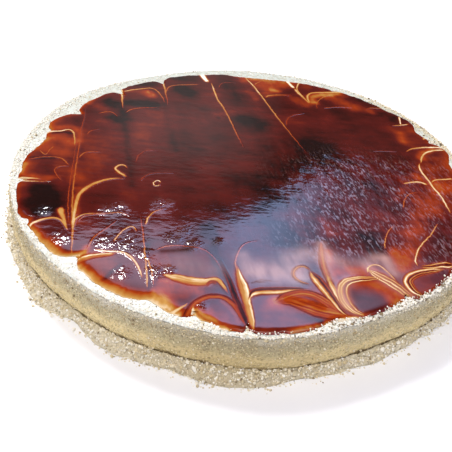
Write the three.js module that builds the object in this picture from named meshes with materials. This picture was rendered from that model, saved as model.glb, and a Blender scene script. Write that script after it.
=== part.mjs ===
// A flat round biscuit cake, uncut: a body whose side is coated with biscuit crumbs,
// a coat of white cream over its top, a thin caramel glaze that stops short of the
// cream's rim, and a ring of loose crumbs heaped against the foot of the wall.
//
// Millimetres, +Z up. The origin is the middle of the base, and -Y is the front.
// Directions round the cake are degrees from +X, anticlockwise seen from above.

import * as THREE from "three";
import { mergeVertices } from "three/addons/utils/BufferGeometryUtils.js";

// Driving dimensions
const CAKE_RADIUS = 140; // crumbed wall, from the cake's axis
const BODY_HEIGHT = 25.6; // base to the underside of the cream
const WALL_BULGE = 0.3; // the wall's middle stands this far proud of the radius
const WALL_LEAN = 1; // the wall's top stands this far inside the radius
const FOOT_INSET = 1.2; // bare foot of the body, behind the heaped crumbs
const CREAM_HEIGHT = 1.9; // thickness of the cream coat
const SHOULDER_DROP = 1.4; // how far the cream's shoulder rounds down
const SHOULDER_WIDTH = 4.5; // how far in from the rim the shoulder starts
const GLAZE_HEIGHT = 0.9; // thickness of the glaze
const GLAZE_LIP = 0.25; // thickness at its very edge
const GLAZE_ROUND = 3; // width over which the edge rounds up to full thickness
const GLAZE_UNDERCUT = 0.4; // its underside ends this far inside the edge
const LEAST_BARE_CREAM = 1;
const HEAP_HEIGHT = 6.2; // ring of crumbs against the foot of the wall
const HEAP_LIP = 1; // width of that ring's top
const HEAP_HEEL = 0.5; // height of the crumbs at its outer edge
const HEAP_SAG = 1.3; // over 1, its slope is hollow, as that of loose crumbs is
const SEAM_GAP = 0.3; // clear space between one piece and the next

// How far the wall departs from a true circle: [direction, millimetres]
const OUT_OF_ROUND = [
  [0, 0.4], [45, -0.6], [80, -1.4], [118, -2.6], [152, 3.2], [180, 1.6],
  [205, 0], [232, -1.5], [256, -0.6], [276, 1.6], [302, -1.6], [320, 1],
];

// Cream left bare between the glaze and the rim: [direction, millimetres]
const BARE_CREAM = [
  [0, 6], [10, 8.8], [17, 3.5], [27, 9.3], [36, 4], [46, 6.8], [60, 7.8], [70, 9.7], [79, 11.8],
  [89, 13.9], [95, 13], [101, 9.3], [119, 7.6], [134, 10], [150, 12.5], [159, 12], [166, 7.6],
  [176, 12.6], [186, 6.6], [203, 2.2], [210, 1], [216, 2.4], [228, 3.4], [233, 5], [241, 3],
  [247, 3.4], [252, 7.4], [259, 3.2], [264, 4.6], [269, 1], [285, 1], [290.5, 3.4], [295.5, 1.2],
  [303, 1.2], [307, 2.4], [312, 1], [335, 2.5],
];

// How far the heaped crumbs reach out from the wall: [direction, millimetres]
const HEAP_REACH = [
  [0, 2.6], [30, 4.4], [62, 3.4], [96, 5], [130, 4], [165, 5], [190, 3.6], [213, 4.2], [226, 7.8],
  [236, 2.4], [244, 7], [252, 5], [260, 4.4], [270, 7.2], [284, 2.6], [302, 4.2], [314, 1.8],
];

// Where the knife that feathered the wet glaze pulled cream in from the rim
const KNIFE_IN = [123.5, 139.5, 157, 230.5];
const NOTCH_DEPTH = 3.6;
const NOTCH_SPREAD = 2.2; // degrees, half the width of a notch

// Relief, as the largest departure from the plain form
const WALL_CRUMB = 0.6;
const HEAP_CRUMB = 0.8;
const CREAM_CRUMB = 0.35;
const GLAZE_WANDER = 0.4;

// Faceting
const SEGMENTS = 160; // steps round the cake
const WALL_STEPS = 8;
const HEAP_STEPS = 5;
const SHOULDER_STEPS = 4;
const GLAZE_STEPS = 3;
const RELIEF_SEED = 20;

const FINISHES = {
  crumbedCake: { color: 0xcdb88a, roughness: 0.95, metalness: 0 },
  whiteCream: { color: 0xf4efe2, roughness: 0.6, metalness: 0 },
  caramelGlaze: { color: 0x571d12, roughness: 0.1, metalness: 0 },
  biscuitCrumb: { color: 0xcabda0, roughness: 1, metalness: 0 },
};

// A repeatable random number from 0 to 1.
function seededRandom(seed) {
  let state = seed >>> 0;
  return () => {
    state = (state + 0x6d2b79f5) >>> 0;
    let mixed = Math.imul(state ^ (state >>> 15), state | 1);
    mixed ^= mixed + Math.imul(mixed ^ (mixed >>> 7), mixed | 61);
    return ((mixed ^ (mixed >>> 14)) >>> 0) / 2 ** 32;
  };
}

// A smooth closed line through [direction, value] knots, the first at 0 degrees.
function throughKnots(knots) {
  return (angle) => {
    const degrees = THREE.MathUtils.euclideanModulo(THREE.MathUtils.radToDeg(angle), 360);
    const after = knots.findIndex(([direction]) => direction > degrees);
    const [start, from] = knots.at(after === -1 ? -1 : after - 1);
    const [end, to] = after === -1 ? [360, knots[0][1]] : knots[after];
    return THREE.MathUtils.lerp(from, to, THREE.MathUtils.smoothstep(degrees, start, end));
  };
}

// A bump of height 1 in each of the given directions.
function bumpsAt(directions) {
  const spread = THREE.MathUtils.degToRad(NOTCH_SPREAD);
  const centres = directions.map(THREE.MathUtils.degToRad);
  return (angle) =>
    centres.reduce((sum, centre) => {
      const apart = Math.atan2(Math.sin(angle - centre), Math.cos(angle - centre));
      return sum + Math.exp(-((apart / spread) ** 2));
    }, 0);
}

// One random height from -1 to 1 for each step round and each station of a profile.
function crumbField(seed, stations) {
  const random = seededRandom(seed);
  const heights = Array.from({ length: SEGMENTS * stations }, () => 2 * random() - 1);
  return (step, station) => heights[step * stations + station];
}

// Turns a profile of [radius, height] stations round the cake's axis, then moves each
// point by what `shape(angle, station, step)` gives: `out` from the axis and `up`.
// The profile starts and ends on the axis, or ends where it starts.
function turnedSolid(profile, shape) {
  const points = profile.map(([radius, height]) => new THREE.Vector2(radius, height));
  const closed = points[0].equals(points.at(-1));
  const stations = points.length - (closed ? 1 : 0);
  const lathe = new THREE.LatheGeometry(points, SEGMENTS);
  lathe.rotateX(Math.PI / 2);
  const position = lathe.getAttribute("position");
  for (let index = 0; index < position.count; index += 1) {
    const station = (index % points.length) % stations;
    const step = Math.floor(index / points.length) % SEGMENTS;
    const { x: radius, y: height } = points[station];
    if (radius === 0) continue;
    const angle = (step / SEGMENTS) * 2 * Math.PI;
    const { out = 0, up = 0 } = shape(angle, station, step);
    position.setXYZ(index, (radius + out) * Math.cos(angle), (radius + out) * Math.sin(angle), height + up);
  }
  lathe.deleteAttribute("normal");
  lathe.deleteAttribute("uv");
  const solid = mergeVertices(lathe);
  solid.computeVertexNormals();
  return solid;
}

const outOfRound = throughKnots(OUT_OF_ROUND);

// The cake itself: a bare foot, a wall roughened by its crumbs, and a flat top.
function cakeBody() {
  const foot = CAKE_RADIUS - FOOT_INSET;
  const wallFoot = HEAP_HEIGHT + 1;
  const profile = [[0, 0], [foot, 0], [foot, HEAP_HEIGHT]];
  const firstWall = profile.length;
  for (let step = 0; step <= WALL_STEPS; step += 1) {
    const share = step / WALL_STEPS;
    const bulge = Math.sin(share * Math.PI) * WALL_BULGE;
    const lean = WALL_LEAN * share ** 2;
    profile.push([CAKE_RADIUS + bulge - lean, wallFoot + (BODY_HEIGHT - wallFoot) * share]);
  }
  const lastWall = profile.length - 1;
  profile.push([0, BODY_HEIGHT]);

  const crumb = crumbField(RELIEF_SEED, profile.length);
  return turnedSolid(profile, (angle, station, step) => {
    const coated = station >= firstWall && station < lastWall;
    return { out: outOfRound(angle) + (coated ? crumb(step, station) * WALL_CRUMB : 0) };
  });
}

// How far the cream's surface lies below its flat top, at a distance in from its rim.
function shoulderDrop(inset) {
  const away = THREE.MathUtils.clamp(1 - inset / SHOULDER_WIDTH, 0, 1);
  return SHOULDER_DROP * (1 - Math.sqrt(1 - away ** 2));
}

// The coat of white cream, with a soft shoulder that shows round the glaze.
function creamCoat() {
  const base = BODY_HEIGHT + SEAM_GAP;
  const top = base + CREAM_HEIGHT;
  const rim = CAKE_RADIUS - WALL_LEAN;
  const profile = [[0, base], [rim, base]];
  for (let step = 0; step <= SHOULDER_STEPS; step += 1) {
    const inset = SHOULDER_WIDTH * (1 - Math.cos((step / SHOULDER_STEPS) * (Math.PI / 2)));
    profile.push([rim - inset, top - shoulderDrop(inset)]);
  }
  const lastShoulder = profile.length - 1;
  profile.push([0, top]);

  const crumb = crumbField(RELIEF_SEED + 1, profile.length);
  return turnedSolid(profile, (angle, station, step) => {
    const rough = station > 1 && station < lastShoulder;
    return { out: outOfRound(angle) + (rough ? crumb(step, station) * CREAM_CRUMB : 0) };
  });
}

// The caramel glaze: a thin sheet with a rounded wavy edge that lies over the cream's
// shoulder where it reaches that far.
function caramelGlaze() {
  const base = BODY_HEIGHT + CREAM_HEIGHT + 2 * SEAM_GAP;
  const rim = CAKE_RADIUS - WALL_LEAN;
  const widestBare = Math.max(...BARE_CREAM.map(([, bare]) => bare)) + NOTCH_DEPTH + GLAZE_WANDER;
  const flat = rim - widestBare - GLAZE_ROUND;
  const profile = [[0, base], [flat, base], [rim - SHOULDER_WIDTH, base], [rim - GLAZE_UNDERCUT, base]];
  const shoulderRing = 2;
  for (let step = 0; step <= GLAZE_STEPS; step += 1) {
    const turn = (step / GLAZE_STEPS) * (Math.PI / 2);
    const rise = GLAZE_LIP + (GLAZE_HEIGHT - GLAZE_LIP) * Math.sin(turn);
    profile.push([rim - GLAZE_ROUND * (1 - Math.cos(turn)), base + rise]);
  }
  const lastEdge = profile.length - 1;
  profile.push([flat, base + GLAZE_HEIGHT], [0, base + GLAZE_HEIGHT]);

  const bare = throughKnots(BARE_CREAM);
  const notches = bumpsAt(KNIFE_IN);
  const wander = crumbField(RELIEF_SEED + 2, 1);
  return turnedSolid(profile, (angle, station, step) => {
    if (station < shoulderRing || station > lastEdge) return {};
    const wavy = NOTCH_DEPTH * notches(angle) + wander(step, 0) * GLAZE_WANDER;
    const margin = Math.max(bare(angle) + wavy, LEAST_BARE_CREAM);
    if (station === shoulderRing) {
      const short = Math.max(margin + 2 * GLAZE_UNDERCUT - SHOULDER_WIDTH, 0);
      return { out: outOfRound(angle) - short };
    }
    const inset = rim - profile[station][0] + margin;
    return { out: outOfRound(angle) - margin, up: -shoulderDrop(inset) };
  });
}

// Crumbs that fell while the wall was coated, heaped against its foot. The outer slope
// sags a little, as loose crumbs do.
function crumbRing() {
  const inner = CAKE_RADIUS - FOOT_INSET + SEAM_GAP;
  const lip = inner + HEAP_LIP;
  const top = HEAP_HEIGHT - SEAM_GAP;
  const reach = throughKnots(HEAP_REACH);
  const slope = Array.from({ length: HEAP_STEPS + 1 }, (_, step) => step / HEAP_STEPS);
  const profile = [[inner, 0], [lip, 0]];
  for (const share of slope) profile.push([lip, HEAP_HEEL + (top - HEAP_HEEL) * share]);
  profile.push([inner, top], [inner, 0]);

  const crumb = crumbField(RELIEF_SEED + 3, profile.length);
  return turnedSolid(profile, (angle, station, step) => {
    const share = station === 1 ? 0 : slope[station - 2];
    if (station === 0 || share === undefined) return { out: outOfRound(angle) };
    const loose = share < 1 ? crumb(step, Math.max(station, 2)) * HEAP_CRUMB : 0;
    const spread = (reach(angle) - lip + CAKE_RADIUS) * (1 - share) ** HEAP_SAG;
    return { out: outOfRound(angle) + Math.max(spread + loose, 0), up: share > 0 ? loose / 2 : 0 };
  });
}

function piece(name, geometry, finish) {
  const mesh = new THREE.Mesh(geometry, new THREE.MeshStandardMaterial(finish));
  mesh.name = name;
  return mesh;
}

const cake = new THREE.Group();
cake.name = "biscuit_cake";
cake.add(
  piece("cake_body", cakeBody(), FINISHES.crumbedCake),
  piece("cream_coat", creamCoat(), FINISHES.whiteCream),
  piece("caramel_glaze", caramelGlaze(), FINISHES.caramelGlaze),
  piece("crumb_ring", crumbRing(), FINISHES.biscuitCrumb),
);

export default cake;
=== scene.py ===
"""Looks of a feathered biscuit cake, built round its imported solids, in metres and in their frame.

The wall, the cream, the glaze and the heap of crumbs each stand for one solid and keep its form.
Cream lines are drawn in the glaze, and loose crumbs lie on the wall, the rim and the heap.
"""

import math
from functools import partial

import bpy
import numpy as np
from bpy.props import FloatProperty, FloatVectorProperty, IntProperty, PointerProperty
from mathutils import Matrix, Vector
from mathutils.bvhtree import BVHTree


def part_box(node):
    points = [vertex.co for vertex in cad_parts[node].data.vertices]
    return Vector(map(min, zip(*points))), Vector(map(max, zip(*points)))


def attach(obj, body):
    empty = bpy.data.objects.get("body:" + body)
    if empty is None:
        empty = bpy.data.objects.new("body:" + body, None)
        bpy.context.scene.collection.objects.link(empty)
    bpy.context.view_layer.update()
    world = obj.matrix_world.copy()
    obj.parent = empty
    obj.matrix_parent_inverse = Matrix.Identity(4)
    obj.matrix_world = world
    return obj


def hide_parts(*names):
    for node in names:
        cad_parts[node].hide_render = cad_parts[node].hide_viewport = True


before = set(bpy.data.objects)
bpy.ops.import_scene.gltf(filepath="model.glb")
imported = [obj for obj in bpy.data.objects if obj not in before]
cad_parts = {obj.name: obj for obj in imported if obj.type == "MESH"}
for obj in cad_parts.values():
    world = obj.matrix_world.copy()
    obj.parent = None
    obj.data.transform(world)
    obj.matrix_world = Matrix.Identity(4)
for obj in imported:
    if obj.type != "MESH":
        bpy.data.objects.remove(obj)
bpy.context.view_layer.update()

bl_info = {
    "name": "Biscuit cake",
    "version": (1, 0, 0),
    "blender": (4, 5, 0),
    "location": "View3D > Sidebar > Cake",
    "description": "Makes the crumb coat, cream, feathered glaze and loose crumbs of a biscuit cake",
    "category": "Add Mesh",
}

MM = 0.001
FULL_TURN = 2 * math.pi
BODY = "root"

# A face is level where its normal's upright part is above this
LEVEL = 0.9

# The knife ran from the back left to the front right
KNIFE_BEARING = math.radians(-72)

# Tops of the wall and of the heap in millimetres, by which colours and crumbs are set out
WALL_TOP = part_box("cake_body")[1].z / MM
HEAP_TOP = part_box("crumb_ring")[1].z / MM

# Colours of the crumb coat and of the heap, by their share of the wall's height. The wall's bands mix its
# colour with painted light: a painted shadow in the groove at the heap's top, partly painted warm bounce
# light in the yellow band low down, and partly painted shade in the grey band under the rim
WALL_BANDS_AND_SHADE = (
    (0.2, "#a08a60"), (0.3, "#e4d19c"), (0.5, "#e8d5a2"),
    (0.66, "#cabe97"), (0.85, "#beb497"), (1.0, "#d9d3c1"),
)
HEAP_BANDS = ((0.0, "#d8ceb1"), (0.12, "#ddd3b9"), (0.25, "#c9bd9b"))

# Soft bands where the glaze lies thin and pale, or thick and dark: plan points and reach in millimetres,
# and how much paler
GLAZE_WASHES = (
    # left cells, from the back to the front
    (((-127, 37), (-129, 28), (-128, 20)), 5, 0.14),
    (((-124, 42), (-116, 43)), 3, 0.10),
    (((-114, 36), (-112, 29)), 4, -0.10),
    (((-121, 24), (-114, 26), (-109, 20), (-106, 10)), 3, 0.20),
    (((-124, 16.5), (-118, 19), (-114, 18)), 1.2, -0.22),
    (((-126, 9), (-118, 12), (-111, 6)), 4.5, 0.17),
    (((-127, 0), (-118, -4), (-110, -4)), 5, 0.12),
    (((-129, -14), (-122, -13), (-116, -12)), 1.6, -0.18),
    (((-130, -21), (-128.5, -30), (-121, -33.5), (-112, -33)), 3.0, 0.22),
    (((-118, -21), (-115, -27)), 5, -0.08),
    (((-125, -43), (-121, -52)), 4, 0.10),
    (((-114, -46), (-108, -54)), 8, -0.30),
    (((-118, -58), (-108, -63)), 5, -0.20),
    (((-98, 36), (-90, 33)), 6, 0.08),
    (((-92, -4), (-86, -12)), 7, 0.07),
    (((-101, -24), (-96, -30)), 4, 0.12),
    (((-86, 20), (-88, 8)), 6, 0.03),
    (((-93, 44), (-88, 41)), 4, -0.18),
    (((-99, 67), (-95, 60)), 5, -0.16),
    (((-105, 56), (-98, 53)), 4, 0.12),
    (((-111, 60), (-108, 72)), 2.2, 0.16),
    # back left cells
    (((-75, 84), (-72, 80)), 4, 0.34),
    (((-88, 82), (-80, 84)), 2.5, 0.10),
    (((-86, 67), (-68, 65)), 4.5, -0.24),
    (((-85, 94), (-72, 98)), 4, -0.12),
    (((-83, 51), (-80, 44)), 4, -0.10),
    (((-64, 53), (-58, 48)), 7, 0.07),
    (((-88, 58), (-78, 20), (-70, -10), (-64, -32)), 2.6, -0.09),
    (((-53, 94), (-46, 88)), 6, -0.20),
    (((-60, 108), (-42, 114)), 5, -0.06),
    (((-62, 75), (-55, 45), (-45, 10)), 2.6, -0.06),
    # back cells
    (((-18, 100), (-12, 88)), 7, -0.10),
    (((-24, 60), (-12, 66), (2, 73)), 5, 0.10),
    (((-23, 56.5), (-22, 55.5)), 1.6, -0.12),
    (((-4, 58), (8, 52)), 7, -0.13),
    (((-4, 100), (2, 90)), 4, 0.18),
    (((10, 100), (13, 110), (23, 116)), 6, 0.20),
    (((13, 104.5), (17, 103.5)), 3, 0.28),
    (((9, 94), (16, 97), (25, 99)), 1.8, 0.18),
    (((-8, 117), (-2, 121)), 4, 0.18),
    (((3, 110), (8, 119)), 5, 0.12),
    (((29, 95), (36, 86)), 5, 0.18),
    (((43, 92), (42.5, 100), (49, 105), (58, 108), (63, 113)), 3.6, 0.40),
    (((56, 101), (62, 96), (72, 88)), 7, 0.26),
    (((62, 108), (66, 106)), 3, 0.12),
    (((50, 82), (55, 75), (52, 68)), 5, 0.06),
    (((46, 118), (56, 114)), 4, -0.08),
    (((72, 104), (86, 97)), 5, -0.08),
    (((82, 87), (84, 84)), 3, 0.18),
    (((91, 83), (99, 77)), 7, -0.14),
    # right cells
    (((100, 58), (101, 47)), 3, 0.20),
    (((110, 29), (112, 35), (119, 40)), 2.4, 0.34),
    (((116, 30), (122, 25)), 6, 0.06),
    (((103, 8), (106, 4)), 3, 0.22),
    (((114, -4), (112, -18), (110, -28)), 5, 0.18),
    (((102, -18), (100, -32), (98, -45), (92, -52)), 6, 0.13),
    (((96, -52), (92, -62), (84, -73)), 6, 0.1),
    (((94, -10), (90, -20)), 3, 0.13),
    (((92, -70), (87, -80)), 4, 0.12),
    (((117, 0), (122, -6)), 5, 0.1),
    (((45, -48), (50, -60)), 5, 0.15),
    (((70, -60), (72, -70)), 6, -0.14),
    (((104, -55), (108, -66)), 5, -0.08),
    (((40, 26), (30, 10)), 15, -0.16),
    (((60, -5), (80, -15)), 12, -0.06),
    # front petals
    (((-94, -40), (-92, -55), (-88, -72)), 2.4, 0.16),
    (((-70, -104), (-58, -108), (-50, -112)), 9, 0.10),
    (((-63.5, -114), (-61, -107), (-58, -102)), 1.1, -0.20),
    (((-77, -91), (-76, -97), (-66, -94.5)), 2.0, 0.28),
    (((-48, -84), (-45, -98), (-42, -110), (-40, -122)), 1.5, -0.14),
    (((-39, -88.5), (-33, -87), (-26, -85)), 2.0, -0.10),
    (((-32, -97), (-20, -95)), 12, 0.10),
    (((-36, -110), (-22, -110.5), (-13, -109.5)), 2.2, 0.20),
    (((-33, -123), (-28, -128)), 4, 0.30),
    (((-32, -117), (-20, -114)), 8, 0.24),
    (((-16.5, -130), (-12, -134.5), (-4, -137.5)), 2.0, 0.30),
    (((-9, -127), (-4, -130)), 5, 0.16),
    (((-6, -121), (0, -126), (3.5, -133)), 1.5, 0.18),
    (((-18, -66), (-12, -85), (-6, -100)), 4.5, -0.12),
    (((-14, -86), (-7, -100), (0, -115), (5, -130)), 2.2, -0.18),
    (((1, -101), (2.6, -108), (5, -116)), 3.0, 0.26),
    (((11, -130), (11, -121)), 3, -0.06),
    (((20, -117), (27, -114), (36, -119), (44, -121)), 4.4, 0.24),
    (((27, -115.4), (34, -114.8), (42, -117.4)), 3.0, 0.14),
    (((20, -124), (30, -126)), 9, 0.09),
    (((17, -117), (26, -112.5), (34, -110)), 2.6, 0.10),
    (((40, -111), (46, -117), (51, -122)), 3, 0.12),
    (((28, -135), (40, -130), (50, -126)), 1.8, 0.30),
    (((39, -125), (41, -128)), 1.5, -0.18),
    (((30.5, -97), (32, -92)), 2.8, 0.16),
    (((46, -76), (47, -88), (49.5, -98)), 2.4, 0.26),
    (((61, -98), (70, -99), (76, -102.5), (79, -107)), 6.5, 0.32),
    (((52, -92), (60, -91), (66, -88)), 4.5, 0.22),
    (((58, -96), (53, -103), (54, -113)), 3.4, 0.28),
    (((48, -80), (56, -86)), 6, 0.16),
    (((38, -105), (43, -112)), 3, 0.20),
    (((10, -45), (20, -65)), 24, -0.10),
    (((84, -83), (81, -72)), 4.5, 0.2),
    (((69, -87), (76, -94), (82, -101)), 1.8, 0.30),
    (((96, -95), (101, -92)), 5, 0.04),
    (((103, -78.5), (109, -77.5)), 2.0, 0.30),
)

# Patches where cream was stirred into the glaze, which partly paint a lilac sky reflection: plan points
# and reach in millimetres, and how much cream
GLAZE_MILK_AND_SHEEN = (
    (((13, -97), (27, -97)), 8, 0.5),
    (((27, -84), (34, -80), (43, -79)), 6, 0.35),
    (((31.5, -92), (33.5, -98)), 3.4, 0.3),
    (((43, -70), (43.6, -84), (46, -96)), 3.0, 0.4),
    (((48, -104), (53, -115), (58, -120)), 2.6, 0.25),
    (((56, -96.5), (52.4, -104), (54, -114)), 3.0, 0.45),
    (((67, -85), (72, -92), (80, -100), (86, -104)), 3.0, 0.25),
    (((76, -77), (79, -88)), 3.5, 0.5),
    (((50, -82), (56, -84)), 5, 0.25),
    (((2, -86), (6, -98)), 4, 0.3),
    (((-26, -97), (-14, -100)), 9, 0.15),
    (((72, -77), (66, -82)), 4, 0.35),
)

# Low ridges that the knife pushed up behind the petals: plan points, reach and height in millimetres
GLAZE_RIDGES = (
    (((8, -110), (20, -106.5), (33, -105.5), (42, -111), (50, -120)), 5, 0.30),
    (((53, -108), (56, -99), (64, -95), (74, -92), (80, -97)), 4.5, 0.28),
    (((88, -98), (90, -90), (98, -85), (106, -82)), 4, 0.25),
)

# The pale band along the glaze's edge: direction in degrees, width in millimetres, how much paler
GLAZE_EDGE_BAND = (
    (0, 5, 0.34), (25, 5, 0.22), (38, 3, 0.10), (50, 3, 0.06), (59, 3, 0.20), (66, 5, 0.34), (74, 5, 0.28),
    (82, 7, 0.40), (92, 7, 0.38), (97, 5, 0.28), (101, 2, 0.12), (112, 1.5, 0.06), (125, 1.5, 0.10),
    (138, 2, 0.18), (148, 2.5, 0.26), (156, 3, 0.36), (163, 3, 0.18), (170, 3, 0.24), (180, 3, 0.20),
    (194, 3, 0.22), (200, 3, 0.18), (208, 2.5, 0.16), (213, 3.0, 0.40), (218, 4.0, 0.58), (226, 4.2, 0.70),
    (232, 4.4, 0.74), (243, 4.0, 0.68), (252, 4.2, 0.70), (258, 4.4, 0.75), (264, 4.4, 0.75),
    (269, 3, 0.40), (275, 1.2, 0.10), (287, 1.2, 0.14), (291, 3.0, 0.56), (296, 2.4, 0.5), (300, 1.2, 0.16),
    (310, 1.2, 0.14), (325, 1.6, 0.2), (340, 4, 0.26),
)

# Narrow notches in the glaze's edge, where the knife pulled cream in, and bulges, with a negative depth:
# direction and half width in degrees, depth in millimetres
GLAZE_NOTCHES = (
    (22.5, 1.3, 3), (30.0, 1.6, 2), (63.0, 0.9, 2.5), (123.5, 1.0, 5), (139.5, 0.9, 6), (158.4, 1.3, 5),
    (170.5, 0.9, 2.5), (196.0, 0.6, 5), (212.6, 0.9, 3), (230.6, 1.0, 4), (262.3, 0.6, 3), (273.2, 0.5, 5),
    (309.0, 0.7, 3), (187.5, 1.0, -1.0), (224.0, 3.0, -0.6),
)

# Spots where the glaze set unevenly and sparkles: plan place x and y, and reach, in millimetres
GLAZE_DIMPLES = (
    (-92, -86, 5), (-59, -85, 8), (-70, -86, 4), (-55, -108, 4.5), (-47, -93, 4), (-39, -104, 6),
    (-35, -78, 4), (-30, -69, 4.5), (-25, -82, 5), (-68, -56, 5), (-75, -58, 3), (-107, -64, 3.5),
    (-45, -49, 5), (-15, -125, 3), (-11, -77, 2.5), (-33, -102, 3),
)

# The lines that the knife drew: plan points, widths along them in millimetres, and tones along them.
# Tone 0 is the deepest glaze, 1 is white cream.
KNIFE_LINES = (
    # first knife line at the left, two strands
    (((-112, 52), (-109.5, 38), (-107.5, 20), (-104, 2), (-100.5, -20), (-97, -40), (-92.5, -60),
      (-88, -77), (-85, -90), (-83, -99)), (0.6, 1.2), (0.34, 0.68)),
    (((-108.5, 12), (-105, -4), (-102.5, -20), (-99.5, -38), (-96, -55), (-91, -74)),
     (0.5, 0.7), (0.36, 0.52)),
    # second
    (((-94.5, 86), (-92, 78), (-90, 68), (-87, 56)), (2.2, 0.5), (1, 0.5)),
    (((-55, -60), (-52, -72), (-49, -84), (-46.5, -95), (-43.5, -108), (-42, -117)),
     (0.5, 1.1), (0.45, 0.86)),
    (((-45.5, -95), (-42, -104), (-39, -115)), (0.9, 0.6), (0.8, 0.6)),
    # third
    (((-68, 107), (-65.5, 98), (-62.5, 86), (-60, 76), (-58, 66)), (1.6, 0.5), (0.9, 0.34)),
    # fourth, with the blob of cream at its start
    (((-41, 122), (-38.5, 116), (-34.5, 108)), (4.6, 3.4), (1, 1)),
    (((-32, 107), (-29, 97), (-25, 82), (-22, 76), (-18.5, 67), (-14, 54), (-9, 38), (-3, 20)),
     (1.4, 0.6), (0.84, 0.46)),
    # fifth
    (((-8, 122), (-1.5, 110), (5, 95), (8, 88), (14, 73), (22, 54), (29.5, 37), (37, 21)),
     (1.5, 0.5), (0.86, 0.5)),
    # sixth, two strands that meet
    (((22, 125), (25, 119), (29, 111)), (2.2, 2.6), (1, 0.96)),
    (((29, 111), (32, 104), (36, 97), (40, 89)), (1.8, 1.2), (0.82, 0.66)),
    (((33.5, 125), (31, 112), (33, 104), (37, 96)), (1.3, 1.0), (0.84, 0.7)),
    # right
    (((108, 22), (107.5, 14), (110, 5), (113, -6), (116, -15), (118.5, -30)), (1.4, 1.2), (0.84, 0.84)),
    (((102.5, 82), (102.5, 76), (102.3, 70)), (1.6, 1.0), (0.96, 0.9)),
)
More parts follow.
